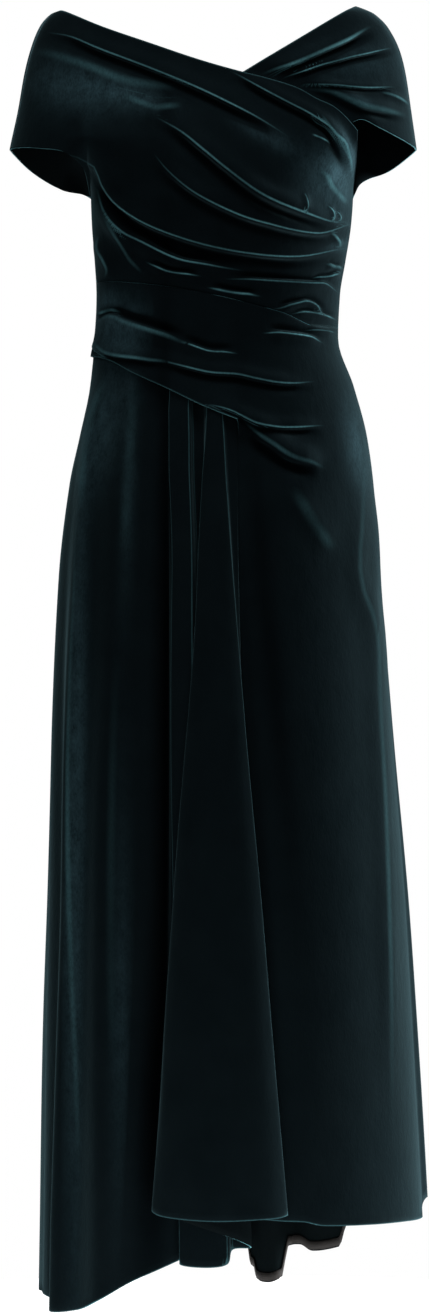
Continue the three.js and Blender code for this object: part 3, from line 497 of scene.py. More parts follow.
# %% Add the folds up
class Relief:
    """What folds do at each point: d stands out, x and z lean, the rest is painted light and shade for the
    finish.
    """

    def __init__(self, shape):
        self.d, self.x, self.z, self.shine, self.brushed = (np.zeros(shape) for _ in range(5))
        self.off = np.full(shape, FAR)

    def mark(self, where, crest, shine):
        """A painted highlight line where crest is 0: crest is a distance in line widths."""
        closer = np.abs(crest) < np.abs(self.off[where])
        seen = ease(CREST_REACH - np.abs(crest))
        self.off[where] = np.where(closer, crest, self.off[where])
        self.shine[where] = np.where(closer, shine * seen, self.shine[where])

    def faded(self, amount):
        """All of it times amount, except off, which is a place."""
        for key in ("d", "x", "z", "shine", "brushed"):
            setattr(self, key, getattr(self, key) * amount)
        return self


def bell(s):
    return np.exp(-(s**2))


def tapered(part):
    start, length = FOLD_END["start"], FOLD_END["length"]
    return ease(part / length + start) * ease((1 - part) / length + start)


def relief(folds, x, z):
    total = Relief(np.shape(x))
    for row in folds:
        low = row["line_xz"].min(0) - REACH * row["width"]
        high = row["line_xz"].max(0) + REACH * row["width"]
        near = (x > low[0]) & (x < high[0]) & (z > low[1]) & (z < high[1])
        if not near.any():
            continue
        above, part, down_x, down_z = nearest(row["line_xz"], x[near], z[near])
        ends = tapered(part)
        hollow_side = 1 if row["hollow"] > 0 else -1
        s = -hollow_side * above / row["width"]
        steep = STEEP_SIDE if row["hollow"] else 1
        ridge = bell(s / np.where(s < 0, steep, SOFT_SIDE))
        trough = np.exp(-((s + HOLLOW["away"]) ** 2) / HOLLOW["spread"])
        trough = abs(row["hollow"]) * HOLLOW["depth"] * trough
        total.d[near] += row["height"] * ends * (ridge - trough)
        # painted shade in the hollow of the fold
        total.brushed[near] -= HOLLOW_PAINTED_SHADE * trough * ends
        most = min(row["height"], LEAN["most"] * row["width"])
        lean = -hollow_side * abs(row["hollow"]) * most * ends * bell((s + LEAN["away"]) / LEAN["spread"])
        total.x[near] += lean * down_x
        total.z[near] += lean * down_z
        wave = np.sin(part * UNEVEN["waves"] + UNEVEN["shift"] * row["number"])
        uneven = UNEVEN["middle"] + UNEVEN["swing"] * wave
        # painted highlight along the crest
        total.mark(near, above / (CREST_WIDTH * row["line"]), row["shine"] * ends * uneven)
    return total


def brushed(places, x, z):
    amount = np.zeros(np.shape(x))
    for place_row in places:
        angle = math.radians(place_row["slope"])
        across, up = x - place_row["x"], z - place_row["z"]
        u = (across * math.cos(angle) + up * math.sin(angle)) / place_row["long"]
        v = (up * math.cos(angle) - across * math.sin(angle)) / place_row["wide"]
        amount += place_row["amount"] * bell(np.hypot(u, v))
    return amount


middle_height = relief(front_folds, np.array([0.0]), np.array([-160.0])).d[0]
print("folds at the middle of the bust stand out", round(middle_height, 1), "mm")

# %% [markdown]
# All relief fades out at the side seams, where cloth is held flat, so that front and back meet
# on the same line. Just above the waist seam the bodice dips in a little, as cloth does where
# a seam draws it down.

# %% Relief of the front and the back
SEAM_DIP = 1.3
SEAM_DIP_REACH = 3.0
ARMS_END_Z = -100
ARMS_END_RAMP = 40


def from_seams(form, side, x, z, width):
    """0 at the side seams of one form, 1 away from them."""
    return ease((1 - np.abs(turn_at(form, side, x, z))) / width)


def below_arms(z):
    return ease((ARMS_END_Z - z) / ARMS_END_RAMP)


def folded(folds, places, side, limits, x, z):
    total = relief(folds, x, z)
    total.d = np.clip(total.d, *limits)
    total.brushed += brushed(places, x, z)
    arms, body = (from_seams(form, side, x, z, SEAM_FADE) for form in (arms_form, body_form))
    return total.faded(mix(arms, body, below_arms(z)))


def front_relief(x, z):
    total = folded(front_folds, PAINTED_LIGHT_FRONT, -1, FRONT_LIMITS, x, z)
    above_waist = z - waist_height(x)
    total.d = total.d - np.where(above_waist > 0, SEAM_DIP * bell(above_waist / SEAM_DIP_REACH), 0)
    return total


def back_relief(x, z):
    return folded(back_folds, PAINTED_LIGHT_BACK, 1, BACK_LIMITS, x, z)


lowest = back_relief(np.array([0.0]), np.array([-48.0])).d[0]
print("the fold across the back stands out", round(lowest, 1), "mm")

# %% [markdown]
# One helper turns a sheet of points into cloth. A grid from bmesh has a vertex for every
# point, the vertices move to their places, and vertices that belong to no cloth are deleted.
# A Solidify modifier then gives the velvet its thickness on the inside.

# %% Make a panel of cloth from a sheet of points
def cloth_area(piece):
    return sum(face.area for face in piece.data.polygons)


def cloth_piece(name, points, node, thickness=CLOTH, keep=None, folds=None):
    rows, columns = points.shape[:2]
    folds = folds or Relief((rows, columns))
    bm = bmesh.new()
    bmesh.ops.create_grid(bm, x_segments=columns - 1, y_segments=rows - 1, size=1)
    marks = {key: bm.verts.layers.float.new(key) for key in MARKS}
    unused = []
    for vertex in bm.verts:
        i = round((vertex.co.x + 1) / 2 * (columns - 1))
        j = round((1 - vertex.co.y) / 2 * (rows - 1))
        if keep is None or keep[j, i]:
            vertex.co = points[j, i] * MM
            for key, layer in marks.items():
                vertex[layer] = getattr(folds, key)[j, i]
        else:
            unused.append(vertex)
    bmesh.ops.delete(bm, geom=unused, context="VERTS")
    mesh = bpy.data.meshes.new(name)
    bm.to_mesh(mesh)
    bm.free()
    piece = bpy.data.objects.new(name, mesh)
    bpy.context.scene.collection.objects.link(piece)
    mesh.polygons.foreach_set("use_smooth", [True] * len(mesh.polygons))
    wall = piece.modifiers.new("wall", "SOLIDIFY")
    wall.thickness = thickness * MM
    wall.offset = -1
    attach(piece, "root")
    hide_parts(node)
    print(name, len(mesh.polygons), "faces,", round(cloth_area(piece), 4), "square metres")
    return piece


def sheet_grid(columns, rows):
    """Column and row numbers for a whole sheet, as two arrays of floats."""
    i, j = np.meshgrid(np.arange(columns + 1.0), np.arange(rows + 1.0))
    return i, j


# %% [markdown]
# A bodice panel is wide over the arms and narrow below them, like a T. Its rows run from the
# neckline to the sleeve hems and the line between the underarms, and then, in the body's
# columns alone, on to the waist. The panels in front have about as many cells as their length
# in millimetres needs, and the plainer back has fewer.

# %% Shape of a bodice panel
MID_WAIST_Z = -262
EDGE_ROWS = 5


def cells(length):
    return round(length / GRID)


def bodice_points(side, columns, first, last, upper, lower, turn_of, top, middle, depth_of):
    """turn_of, top and middle take a column: its turn on the body, and (x, z) on those rows."""
    i, j = sheet_grid(columns, upper + lower)
    above = j <= upper
    t = np.where(above, j / upper, (j - upper) / lower)
    (top_x, top_z), (mid_x, mid_z) = top(i), middle(i)
    low_x, low_z = waist_point(side, turn_of(i), SEAM_GAP / 2)
    z = np.where(above, mix(top_z, mid_z, t), mix(mid_z, low_z, t))
    arms_turn = mix(turn_at(arms_form, side, top_x, top_z), turn_at(arms_form, side, mid_x, mid_z), t)
    body_turn = mix(turn_at(body_form, side, mid_x, mid_z), turn_at(body_form, side, low_x, low_z), t)
    x = np.where(above, x_at(arms_form, side, arms_turn, z), x_at(body_form, side, body_turn, z))
    x = np.where(j == upper, mid_x, x)
    seam = ((i == 0) & (first > 0)) | ((i == columns) & (last < columns))
    x = np.where(seam, x_at(arms_form, side, np.sign(top_x), z), x)
    folds = depth_of(x, z)
    # painted highlight along the neckline
    folds.mark(..., (z[0] - z) / EDGE_LINE, NECK_SHINE)
    edge = np.minimum(np.minimum(j, upper + lower - j), EDGE_ROWS) / EDGE_ROWS
    edge = np.where(seam, 0, edge)
    shifted = place(side, x + folds.x * edge, z + folds.z * edge, np.where(seam, 0, folds.d))
    keep = above | ((i >= first) & (i <= last))
    return shifted, keep, folds


def waist_point(side, turn, above):
    x = x_at(body_form, side, turn, MID_WAIST_Z)
    z = waist_height(x) + above
    return x_at(body_form, side, turn, z), z


middle_z = waist_point(-1, 0, 0)[1]
print("the waist seam is", round(-float(middle_z)), "mm down at the middle")

# %% [markdown]
# The front that covers is the main piece of the bodice: it starts as one sleeve, crosses the
# chest, and gathers into the far side seam. It carries most of the folds.

# %% The covering front
def bodice_front_over():
    sleeve, body, upper, lower = cells(95), cells(300), cells(170), cells(115)
    columns, on_sleeve = sleeve + body, 0.2
    neck, hem = smooth_line(NECK_OVER), smooth_line(SLEEVE_HEM_OVER)
    turn_of = lambda i: mix(-1, 1, np.clip((i - sleeve) / body, 0, 1))

    def top(i):
        return neck(np.interp(i, [0, sleeve, columns], [0, on_sleeve, 1]))

    def middle(i):
        hem_x, hem_z = hem(np.clip(i / sleeve, 0, 1))
        inside = i >= sleeve
        body_x = x_at(body_form, -1, turn_of(i), UNDERARM_Z)
        return np.where(inside, body_x, hem_x), np.where(inside, UNDERARM_Z, hem_z)

    points, keep, folds = bodice_points(
        -1, columns, sleeve, columns, upper, lower, turn_of, top, middle, front_relief
    )
    return cloth_piece("velvet_front_over", points, "bodice_front_over", keep=keep, folds=folds)


front_over = bodice_front_over()

# %% [markdown]
# The other front starts as the other sleeve. Its folds fan out from the crossing, and then it
# sinks behind the covering front and rises again to the same side seams.

# %% The covered front
UNDER_FADE = 0.12


def under_relief(x, z):
    above, _, _, _ = nearest(over_neck, x, z)
    cover = ease((COVER_RAMP - above) / COVER_RAMP)
    seam = mix(1, from_seams(body_form, -1, x, z, UNDER_FADE), below_arms(z))
    sunk = mix(CLOTH + 2 * SEAM_GAP, UNDER_INSET, seam)
    folds = relief(fan_folds, x, z)
    folds.brushed += brushed(PAINTED_LIGHT_FAN, x, z)
    folds.faded((1 - cover) * from_seams(arms_form, -1, x, z, UNDER_FADE))
    folds.d = folds.d - cover * sunk
    return folds


def bodice_front_under():
    sleeve, body, upper, lower = cells(95), cells(150), cells(130), 20
    columns, on_sleeve = sleeve + body, 0.22
    neck, hem, chest = smooth_line(NECK_UNDER), smooth_line(SLEEVE_HEM_UNDER), smooth_line(COVERED_CHEST)
    turn_of = lambda i: mix(-1, 1, np.clip(i / body, 0, 1))

    def top(i):
        return neck(np.interp(i, [0, body, columns], [1, on_sleeve, 0]))

    def middle(i):
        hem_x, hem_z = hem(np.clip((columns - i) / sleeve, 0, 1))
        z = chest(1 - np.clip(i / body, 0, 1))[1]
        x = x_at(body_form, -1, turn_of(i), z)
        return np.where(i > body, hem_x, x), np.where(i > body, hem_z, z)

    points, keep, folds = bodice_points(
        -1, columns, 0, body, upper, lower, turn_of, top, middle, under_relief
    )
    return cloth_piece("velvet_front_under", points, "bodice_front_under", keep=keep, folds=folds)


front_under = bodice_front_under()

# %% [markdown]
# The back of the bodice is cut in one with the backs of both sleeves. Its neckline dips a
# little, and a few soft folds sag between the arms.

# %% The back of the bodice
def bodice_back():
    sleeve, body, upper, lower = 34, 110, 56, 44
    columns, on_sleeve = 2 * sleeve + body, 0.16
    neck = smooth_line(NECK_BACK)
    hem_left, hem_right = smooth_line(SLEEVE_HEM_BACK_LEFT), smooth_line(SLEEVE_HEM_BACK_RIGHT)
    turn_of = lambda i: mix(1, -1, np.clip((i - sleeve) / body, 0, 1))

    def top(i):
        part = np.interp(i, [0, sleeve, sleeve + body, columns], [0, on_sleeve, 1 - on_sleeve, 1])
        return neck(1 - part)

    def middle(i):
        right_x, right_z = hem_right(np.clip(i / sleeve, 0, 1))
        left_x, left_z = hem_left(np.clip((columns - i) / sleeve, 0, 1))
        x = x_at(body_form, 1, turn_of(i), UNDERARM_Z)
        cases = [i < sleeve, i > sleeve + body]
        return np.select(cases, [right_x, left_x], x), np.select(cases, [right_z, left_z], UNDERARM_Z)

    points, keep, folds = bodice_points(
        1, columns, sleeve, sleeve + body, upper, lower, turn_of, top, middle, back_relief
    )
    return cloth_piece("velvet_back", points, "bodice_back", keep=keep, folds=folds)


back = bodice_back()

# %% [markdown]
# Crease lines describe the pleated front: each has a place across and a depth at four
# heights. Between the lines the cloth bends softly. A line may lie behind its neighbour, and
# that is how the cloth doubles under the raised pleat and under the flared fold.

# %% Crease lines of the pleats
PLEAT_HEIGHTS = [-380, -560, -890, -1250]
PLEAT_LINES = [
    {"line": "side seam", "x": [-200, -200, -200, -200], "d": [0, 0, 0, 0], "hem": -1330},
    {"line": "side valley", "x": [-137, -162, -170, -178], "d": [0, -2, -5, -7], "hem": -1334},
    {"line": "side ridge", "x": [-128, -147, -156, -168], "d": [0.5, 4, 8, 9], "hem": -1342},
    {"line": "side flank", "x": [-113, -130, -141, -150], "d": [0, 0, -1, -3], "hem": -1338},
    {"line": "long ridge", "x": [-93, -106, -122, -119], "d": [1.6, 3, 4, 7], "hem": -1323},
    {"line": "long flank", "x": [-77, -85, -96, -93], "d": [0, -2, -3, -3], "hem": -1304},
    {"line": "slope", "x": [-63, -66, -71, -70], "d": [-4, -7, -9, -9], "hem": -1292},
    {"line": "pleat valley", "x": [-50, -44, -41, -37], "d": [-9, -13, -15, -26], "hem": -1277},
    {"line": "pleat edge", "x": [-50, -46, -46, -43], "d": [0.5, 2, -3, -16], "hem": -1283, "shine": 0.28},
    {"line": "pleat top", "x": [-43, -38, -38, -30], "d": [0.9, 3.5, -1.5, -15], "hem": -1286},
    {"line": "far edge", "x": [-29, -25, -20, 11], "d": [0.9, 2.5, -5, -19], "hem": -1283, "shine": 0.22},
    {"line": "under layer", "x": [-26, -19, 3, 17], "d": [-6, -8, -14, -30], "hem": -1269, "shine": 0.12},
    {"line": "inner turn", "x": [-21, -12, 13, 38], "d": [-10, -11.5, -13.5, -30], "hem": -1267},
    {"line": "return", "x": [-15, -10, 3, 28], "d": [-8, -7, -8, -19], "hem": -1260},
    {"line": "return end", "x": [-12, -15, -22, -20], "d": [-4, -2, -1, -3], "hem": -1242},
    {"line": "flare left edge", "x": [-10, -19.5, -43, -65], "d": [-1, 3, 5, 11], "hem": -1225, "shine": 0.32},
    {"line": "flare left", "x": [-8, -15, -36, -56], "d": [1, 7, 12, 21], "hem": -1229},
    {"line": "flare mid left", "x": [-5, -8, -18, -28], "d": [1.7, 10, 18, 32], "hem": -1232},
    {"line": "flare crest", "x": [-2, 0, 0, 5], "d": [1.8, 11, 21, 37], "hem": -1233},
    {"line": "flare mid right", "x": [1, 8, 20, 41], "d": [1.7, 10, 18, 31], "hem": -1232},
    {"line": "flare right", "x": [4, 14.5, 38, 65], "d": [1, 7, 12, 21], "hem": -1231},
    {"line": "flare right edge", "x": [6, 18, 46, 74.5], "d": [-1, 3, 5, 12], "hem": -1229, "shine": 0.36},
    {"line": "turn under", "x": [10, 19, 43, 66], "d": [-5, -3, -3, 1], "hem": -1232},
    {"line": "hidden seam", "x": [22, 25, 37, 50], "d": [-7, -9, -11, -15], "hem": -1236},
]


def pleat_track(row):
    heights = np.array(PLEAT_HEIGHTS, float)
    turns = turn_at(body_form, -1, np.array(row["x"], float), heights)
    return {"turn": through(heights, turns), "d": through(heights, row["d"]), "hem": row["hem"]}


tracks = [pleat_track(row) for row in PLEAT_LINES]
hidden = tracks[-1]
print("crease lines:", len(tracks), "shining:", [row["line"] for row in PLEAT_LINES if "shine" in row])

# %% [markdown]
# The pleats hang from under the drape's slanted edge. Every row of the grid is a soft curve
# through the crease lines at that height, with ten cells from line to line, and the rows are
# closer together near the top, where the creases change most. Soft folds lie only on the slope
# between the side seam and the first deep valley.

# %% The pleated front of the skirt
CELLS_PER_CREASE = 10
LAST_SOFT_X = -49
SOFT_RAMP = 8
SIDE_COLUMNS = 6
ROWS_CLOSER = 1.1
TUCK_RAMP = 25
UNDER_DRAPE_Z = -350
EDGE_FIRST_X, EDGE_LAST_X = DRAPE_EDGE[0][0], DRAPE_EDGE[-1][0]


def pleat_top(x):
    tuck = mix(-SEAM_GAP, TUCK, ease((x - EDGE_FIRST_X) / TUCK_RAMP))
    return drape_edge(np.clip(x, EDGE_FIRST_X, EDGE_LAST_X)) + tuck


def soft_row(line, columns):
    """A soft curve through (x, d, z) points, with its columns spread evenly between the points."""
    p = with_ends(line)
    at = np.linspace(0, len(line) - 1, columns + 1)
    k = np.minimum(at.astype(int), len(line) - 2)
    return soft_span(p[k], p[k + 1], p[k + 2], p[k + 3], (at - k)[:, None]).T


def skirt_front_pleats():
    columns, rows = CELLS_PER_CREASE * (len(tracks) - 1), 118
    column = np.arange(columns + 1)
    points = np.zeros((rows + 1, columns + 1, 3))
    folds = Relief((rows + 1, columns + 1))
    for j in range(rows + 1):
        t = (j / rows) ** ROWS_CLOSER
        line = []
        for track in tracks:
            top_z = pleat_top(x_at(body_form, -1, track["turn"](DRAPE_EDGE[0][1]), UNDER_DRAPE_Z))
            z = mix(top_z, track["hem"], t)
            line.append((x_at(body_form, -1, track["turn"](z), z), float(track["d"](z)), z))
        x, d, z = soft_row(line, columns)
        gap = np.where(column == columns, SEAM_GAP / 2, 0)
        x[0], d[0] = x_at(body_form, -1, -1, z[0]), 0
        soft = relief(pleat_folds, x, z)
        soft.brushed += brushed(PAINTED_LIGHT_FRONT, x, z)
        soft.faded(ease((LAST_SOFT_X - x) / SOFT_RAMP) * ease(column / SIDE_COLUMNS))
        run = np.append(0, np.cumsum(np.hypot(np.diff(x), np.diff(d))))
        for number, row in enumerate(PLEAT_LINES):
            # painted highlight along the shining crease lines
            if "shine" in row:
                away = run - run[number * CELLS_PER_CREASE]
                soft.mark(..., away / CREST_WIDTH, row["shine"])
        for key in MARKS:
            getattr(folds, key)[j] = getattr(soft, key)
        points[j] = place(-1, x - gap, z, d + gap + soft.d)
    # painted highlight along the hem
    folds.mark(..., (points[..., 2] - points[-1, :, 2]) / EDGE_LINE, HEM_SHINE)
    return cloth_piece("velvet_pleats", points, "skirt_front_pleats", folds=folds)


pleats = skirt_front_pleats()

# %% [markdown]
# The hip drape runs on into the other half of the front. Its slanted edge stands off the
# pleats, and below the edge the panel goes down to the hem beside the hidden seam, where it
# sinks into the valley that the flared fold covers.

# %% Relief of the hip drape
EDGE_BAND = {"high": 22, "past": 16}
SIDE_LIFT = 0.15
SIDE_RAMP = 0.12
VALLEY = {"top": -399, "ramp": 14, "width": 26, "flat": 0.8}


def drape_relief(x, z):
    edge_x = np.clip(x, EDGE_FIRST_X, EDGE_LAST_X)
    above_edge = z - drape_edge(edge_x)
    past_edge = np.maximum(0, x - edge_x)
    near_edge = bell(above_edge / EDGE_BAND["high"]) * bell(past_edge / EDGE_BAND["past"])
    at_side = ease((turn_at(body_form, -1, x, z) + 1) / SIDE_RAMP)
    low = ease((VALLEY["top"] - z) / VALLEY["ramp"])
    hidden_x = x_at(body_form, -1, hidden["turn"](z), z)
    valley = (1 - ease((x - hidden_x) / VALLEY["width"])) * low
    lift = EDGE_LIFT * near_edge * (1 - low) * mix(SIDE_LIFT, 1, at_side)
    folds = front_relief(x, z)
    out = folds.d * (1 - VALLEY["flat"] * valley)
    folds.faded(1 - valley)
    folds.d = mix(out, np.maximum(out, 0), near_edge) + lift + hidden["d"](z) * valley
    return folds


lift_at_middle = drape_relief(np.array([-50.0]), np.array([-360.0])).d[0]
print("the drape's edge stands out", round(lift_at_middle, 1), "mm")

# %% The hip drape and plain front of the skirt
OVER_PLEATS_Z = -330
CORNER_COLUMNS = 3
FREE_EDGE_ROWS = 6
LOWER_ROWS_CLOSER = 1.15


def skirt_front_drape():
    open_columns, closed, upper, lower = 90, 92, 64, 110
    columns = open_columns + closed
    fold_line = smooth_line(DRAPE_FOLD)
    corner_turn = turn_at(body_form, -1, *DRAPE_EDGE[-1])
    i, j = sheet_grid(columns, upper + lower)
    across = np.clip((i - open_columns) / closed, 0, 1)
    turn = np.where(i < open_columns, mix(-1, corner_turn, i / open_columns), mix(corner_turn, 1, across))
    top_x, top_z = waist_point(-1, turn, -SEAM_GAP / 2)
    edge_z = drape_edge(x_at(body_form, -1, turn, OVER_PLEATS_Z))
    mid_z = np.where(i <= open_columns, edge_z, fold_line(across)[1])
    mid_x = x_at(body_form, -1, turn, mid_z)
    above = j <= upper
    t = np.where(above, j / upper, ((j - upper) / lower).clip(0) ** LOWER_ROWS_CLOSER)
    hem_x = x_at(body_form, -1, mix(hidden["turn"](hidden["hem"]), 1, across), hidden["hem"])
    z = np.where(above, mix(top_z, mid_z, t), mix(mid_z, right_front_hem(hem_x), t))
    upper_turn = mix(turn_at(body_form, -1, top_x, top_z), turn_at(body_form, -1, mid_x, mid_z), t)
    lower_turn = mix(hidden["turn"](z), 1, across)
    x = x_at(body_form, -1, np.where(above, upper_turn, lower_turn), z)
    gap = np.where((i == open_columns) & ~above, SEAM_GAP / 2, 0)
    folds = drape_relief(x, z)
    edge = np.minimum(j, EDGE_ROWS) / EDGE_ROWS
    over_edge = (i < open_columns + CORNER_COLUMNS) & above
    edge = np.where(over_edge, np.minimum(edge, (upper - j) / FREE_EDGE_ROWS), edge)
    points = place(-1, x + gap + folds.x * edge, z + folds.z * edge, folds.d - gap)
    keep = above | (i >= open_columns)
    # painted highlight along the hem and the drape's free edge
    folds.mark(..., (z - z[-1]) / EDGE_LINE, HEM_SHINE)
    free = above & (i <= open_columns)
    folds.mark(free, ((z - mid_z) / EDGE_LINE)[free], HEM_SHINE)
    return cloth_piece("velvet_drape", points, "skirt_front_drape", keep=keep, folds=folds)


drape = skirt_front_drape()

# %% [markdown]
# The back of the skirt is longer than the front and hangs in deep waves that grow from the
# hip to the hem. Each row says where across the back a wave is, -1 to 1, how far it stands out,
# half its width, and how flat its top is: 2 is round and 4 is squarer. A narrow tape lies inside
# the hem, where it shows under the front.

# %% The back of the skirt and its tape
BACK_WAVES = [
    {"at": -0.8, "out": 14, "half": 0.11, "shape": 2},
    {"at": -0.56, "out": -15, "half": 0.09, "shape": 2},
    {"at": -0.32, "out": 19, "half": 0.11, "shape": 2},
    {"at": -0.09, "out": -20, "half": 0.07, "shape": 2},
    {"at": 0.03, "out": 12, "half": 0.045, "shape": 2},
    {"at": 0.14, "out": -32, "half": 0.055, "shape": 4},
    {"at": 0.3, "out": -12, "half": 0.08, "shape": 2},
    {"at": 0.46, "out": 18, "half": 0.06, "shape": 2},
    {"at": 0.62, "out": -16, "half": 0.07, "shape": 2},
    {"at": 0.78, "out": 8, "half": 0.07, "shape": 2},
    {"at": 0.92, "out": 9, "half": 0.05, "shape": 2},
]
WAVES_TOP_Z = -330
WAVES_GROW = 900
WAVES_FADE = 0.08
TAPE_END = 0.87


def back_point(turn, z):
    x = x_at(body_form, 1, turn, z)
    grow = ease((WAVES_TOP_Z - z) / WAVES_GROW)
    d = back_relief(x, z).d
    for wave in BACK_WAVES:
        d = d + wave["out"] * grow * np.exp(-((np.abs(turn - wave["at"]) / wave["half"]) ** wave["shape"]))
    return place(1, x, z, d * ease((1 - np.abs(turn)) / WAVES_FADE))


def skirt_back():
    columns, rows = 260, 100
    i, j = sheet_grid(columns, rows)
    turn = mix(1, -1, i / columns)
    top_z = waist_point(1, turn, -SEAM_GAP / 2)[1]
    z = mix(top_z, back_hem(turn), j / rows)
    folds = back_relief(x_at(body_form, 1, turn, z), z)
    return cloth_piece("velvet_skirt_back", back_point(turn, z), "skirt_back", folds=folds)


def hem_tape():
    columns = 230
    i, j = sheet_grid(columns, 2)
    turn = mix(TAPE_END, -TAPE_END, i / columns)
    z = back_hem(turn) + TAPE_RISE + TAPE_HEIGHT * (1 - j / 2)
    here = back_point(turn, z)
    along = np.gradient(here, axis=1)
    inward = np.stack([-along[..., 1], along[..., 0], 0 * z], -1)
    inward /= np.linalg.norm(inward, axis=-1)[..., None]
    points = here + inward * (CLOTH + TAPE_CLEAR)
    return cloth_piece("tape_at_hem", points, "hem_tape", thickness=TAPE)


skirt_behind = skirt_back()
tape = hem_tape()

# %% [markdown]
# A finish is a small graph of nodes. To read it like a formula, a class wraps one socket and
# gives it plus, minus and times, and one method adds every other kind of node.

# %% Shader maths as Python expressions
class Wire:
    def __init__(self, socket):
        self.socket = socket

    def maths(self, operation, first, second):
        tree = self.socket.id_data
        node = tree.nodes.new("ShaderNodeMath")
        node.operation = operation
        for slot, value in zip(node.inputs, (first, second)):
            if isinstance(value, Wire):
                tree.links.new(value.socket, slot)
            else:
                slot.default_value = value
        return Wire(node.outputs[0])

    def __add__(self, other):
        return self.maths("ADD", self, other)

    def __radd__(self, other):
        return self.maths("ADD", other, self)

    def __mul__(self, other):
        return self.maths("MULTIPLY", self, other)

    def __rmul__(self, other):
        return self.maths("MULTIPLY", other, self)

    def __sub__(self, other):
        return self.maths("SUBTRACT", self, other)

    def __rsub__(self, other):
        return self.maths("SUBTRACT", other, self)


class Finish:
    """A material. node() adds a node: its type, its settings, then the values or links of its sockets."""

    def __init__(self, name):
        self.material = bpy.data.materials.new(name)
        self.material.use_nodes = True
        self.tree = self.material.node_tree

    def node(self, kind, settings=None, sockets=None, output=0):
        node = self.tree.nodes.new(kind)
        for key, value in (settings or {}).items():
            setattr(node, key, value)
        self.connect(node, sockets or {})
        return Wire(node.outputs[output])

    def connect(self, node, sockets):
        for key, value in sockets.items():
            if isinstance(value, Wire):
                self.tree.links.new(value.socket, node.inputs[key])
            else:
                node.inputs[key].default_value = value

    def surface(self, sockets):
        self.connect(self.tree.nodes["Principled BSDF"], sockets)
        return self.material

    def bump(self, height, strength):
        sockets = {"Height": height, "Strength": strength, "Distance": 1.0}
        return self.node("ShaderNodeBump", sockets=sockets)

    def noise(self, scale, detail, stretch=(1, 1, 1)):
        where = self.node("ShaderNodeTexCoord", output="Object")
        where = self.node("ShaderNodeMapping", sockets={"Vector": where, "Scale": stretch})
        sockets = {"Vector": where, "Scale": scale, "Detail": detail, "Roughness": 0.55}
        return self.node("ShaderNodeTexNoise", sockets=sockets)

    def between(self, amount, low, high):
        """A colour from low to high. A colour mix keeps them on sockets 6 and 7."""
        return self.node("ShaderNodeMix", {"data_type": "RGBA"}, {0: amount, 6: low, 7: high}, output=2)


print("a finish can add:", [name for name in vars(Finish) if not name.startswith("_")])

# %% [markdown]
# Velvet is a short dense pile. Face on, it swallows light and looks nearly black, and seen
# along the pile it glows. A sheen does exactly that over a very dark base. Broad noise stands
# for places where the pile lies over, and fine noise for its grain. The inside of the cloth is
# its plain knitted backing, which has no pile, so it takes a dull finish of its own.

# %% Velvet
PILE_DARK = (0.0026, 0.0050, 0.0064, 1)
PILE_LIGHT = (0.0078, 0.0138, 0.0166, 1)
# painted shade and painted highlights, mixed into the base by the marks on the mesh
PAINTED_SHADE_BLACK = (0.0005, 0.0008, 0.0012, 1)
PAINTED_SHEEN_TEAL = (0.075, 0.160, 0.195, 1)
PAINTED_CREST_HIGHLIGHT = (0.150, 0.390, 0.440, 1)
SHEEN_TEAL = (0.40, 0.72, 0.81, 1)
CREST_LINE = 1.5
RIM_PAINTED_HIGHLIGHT = 0.85


def velvet(name, edge=0.0):
    """edge adds a painted highlight everywhere, for the rims of the cloth, as on a cut or turned edge."""
    finish = Finish(name)
    off, shine, light_shade_mark = (
        finish.node("ShaderNodeAttribute", {"attribute_name": key}, output="Fac") for key in MARKS
    )
    grain = finish.noise(520, 3, (1, 1, 0.5))
    laid = finish.noise(26, 3)
    crushed = finish.noise(90, 2, (1, 1, 0.6))
    pile = finish.between(laid * 0.65 + grain * 0.35, PILE_DARK, PILE_LIGHT)
    # painted shade: negative marks darken the base nearly to black
    pile = finish.between(light_shade_mark * -1.0, pile, PAINTED_SHADE_BLACK)
    # painted highlight: positive marks lighten the base towards teal
    pile = finish.between(light_shade_mark * (crushed * 1.5 + grain * 1.5 - 0.6), pile, PAINTED_SHEEN_TEAL)
    away = finish.node("ShaderNodeMath", {"operation": "ABSOLUTE"}, {0: off})
    crest = finish.node(
        "ShaderNodeMapRange", {"interpolation_type": "SMOOTHSTEP"},
        {"Value": away, "From Min": 0.0, "From Max": CREST_LINE, "To Min": 1.0, "To Max": 0.0},
    )
    # painted highlight along the crests and, for the rim finish, everywhere
    painted_highlight = crest * shine * (grain * 0.9 + 0.45) + edge
    return finish.surface({
        "Base Color": finish.between(painted_highlight, pile, PAINTED_CREST_HIGHLIGHT),
        "Roughness": grain * 0.16 + 0.45,
        "Normal": finish.bump(grain * 0.00035 + crushed * 0.0007, 0.6),
        "Specular IOR Level": 0.0,
        "Sheen Weight": 0.25,
        "Sheen Roughness": 0.38,
        "Sheen Tint": SHEEN_TEAL,
    })


velvet_finish = velvet("velvet")
# the rims take a painted highlight, standing in for the sheen of pile seen edge on
rim_highlight_finish = velvet("velvet_rim_painted_highlight", RIM_PAINTED_HIGHLIGHT)
print("velvet nodes:", len(velvet_finish.node_tree.nodes))

# %% Backing and hem tape
KNIT_DARK = (0.0030, 0.0052, 0.0060, 1)
KNIT_LIGHT = (0.0085, 0.0130, 0.0145, 1)
TAPE_DARK = (0.014, 0.0125, 0.012, 1)
TAPE_LIGHT = (0.046, 0.040, 0.037, 1)


def backing():
    finish = Finish("velvet_backing")
    knit = finish.noise(1300, 2, (1, 1, 0.3))
    return finish.surface({
        "Base Color": finish.between(knit, KNIT_DARK, KNIT_LIGHT),
        "Roughness": knit * 0.1 + 0.8,
        "Normal": finish.bump(knit * 0.0002, 0.4),
        "Specular IOR Level": 0.0,
    })


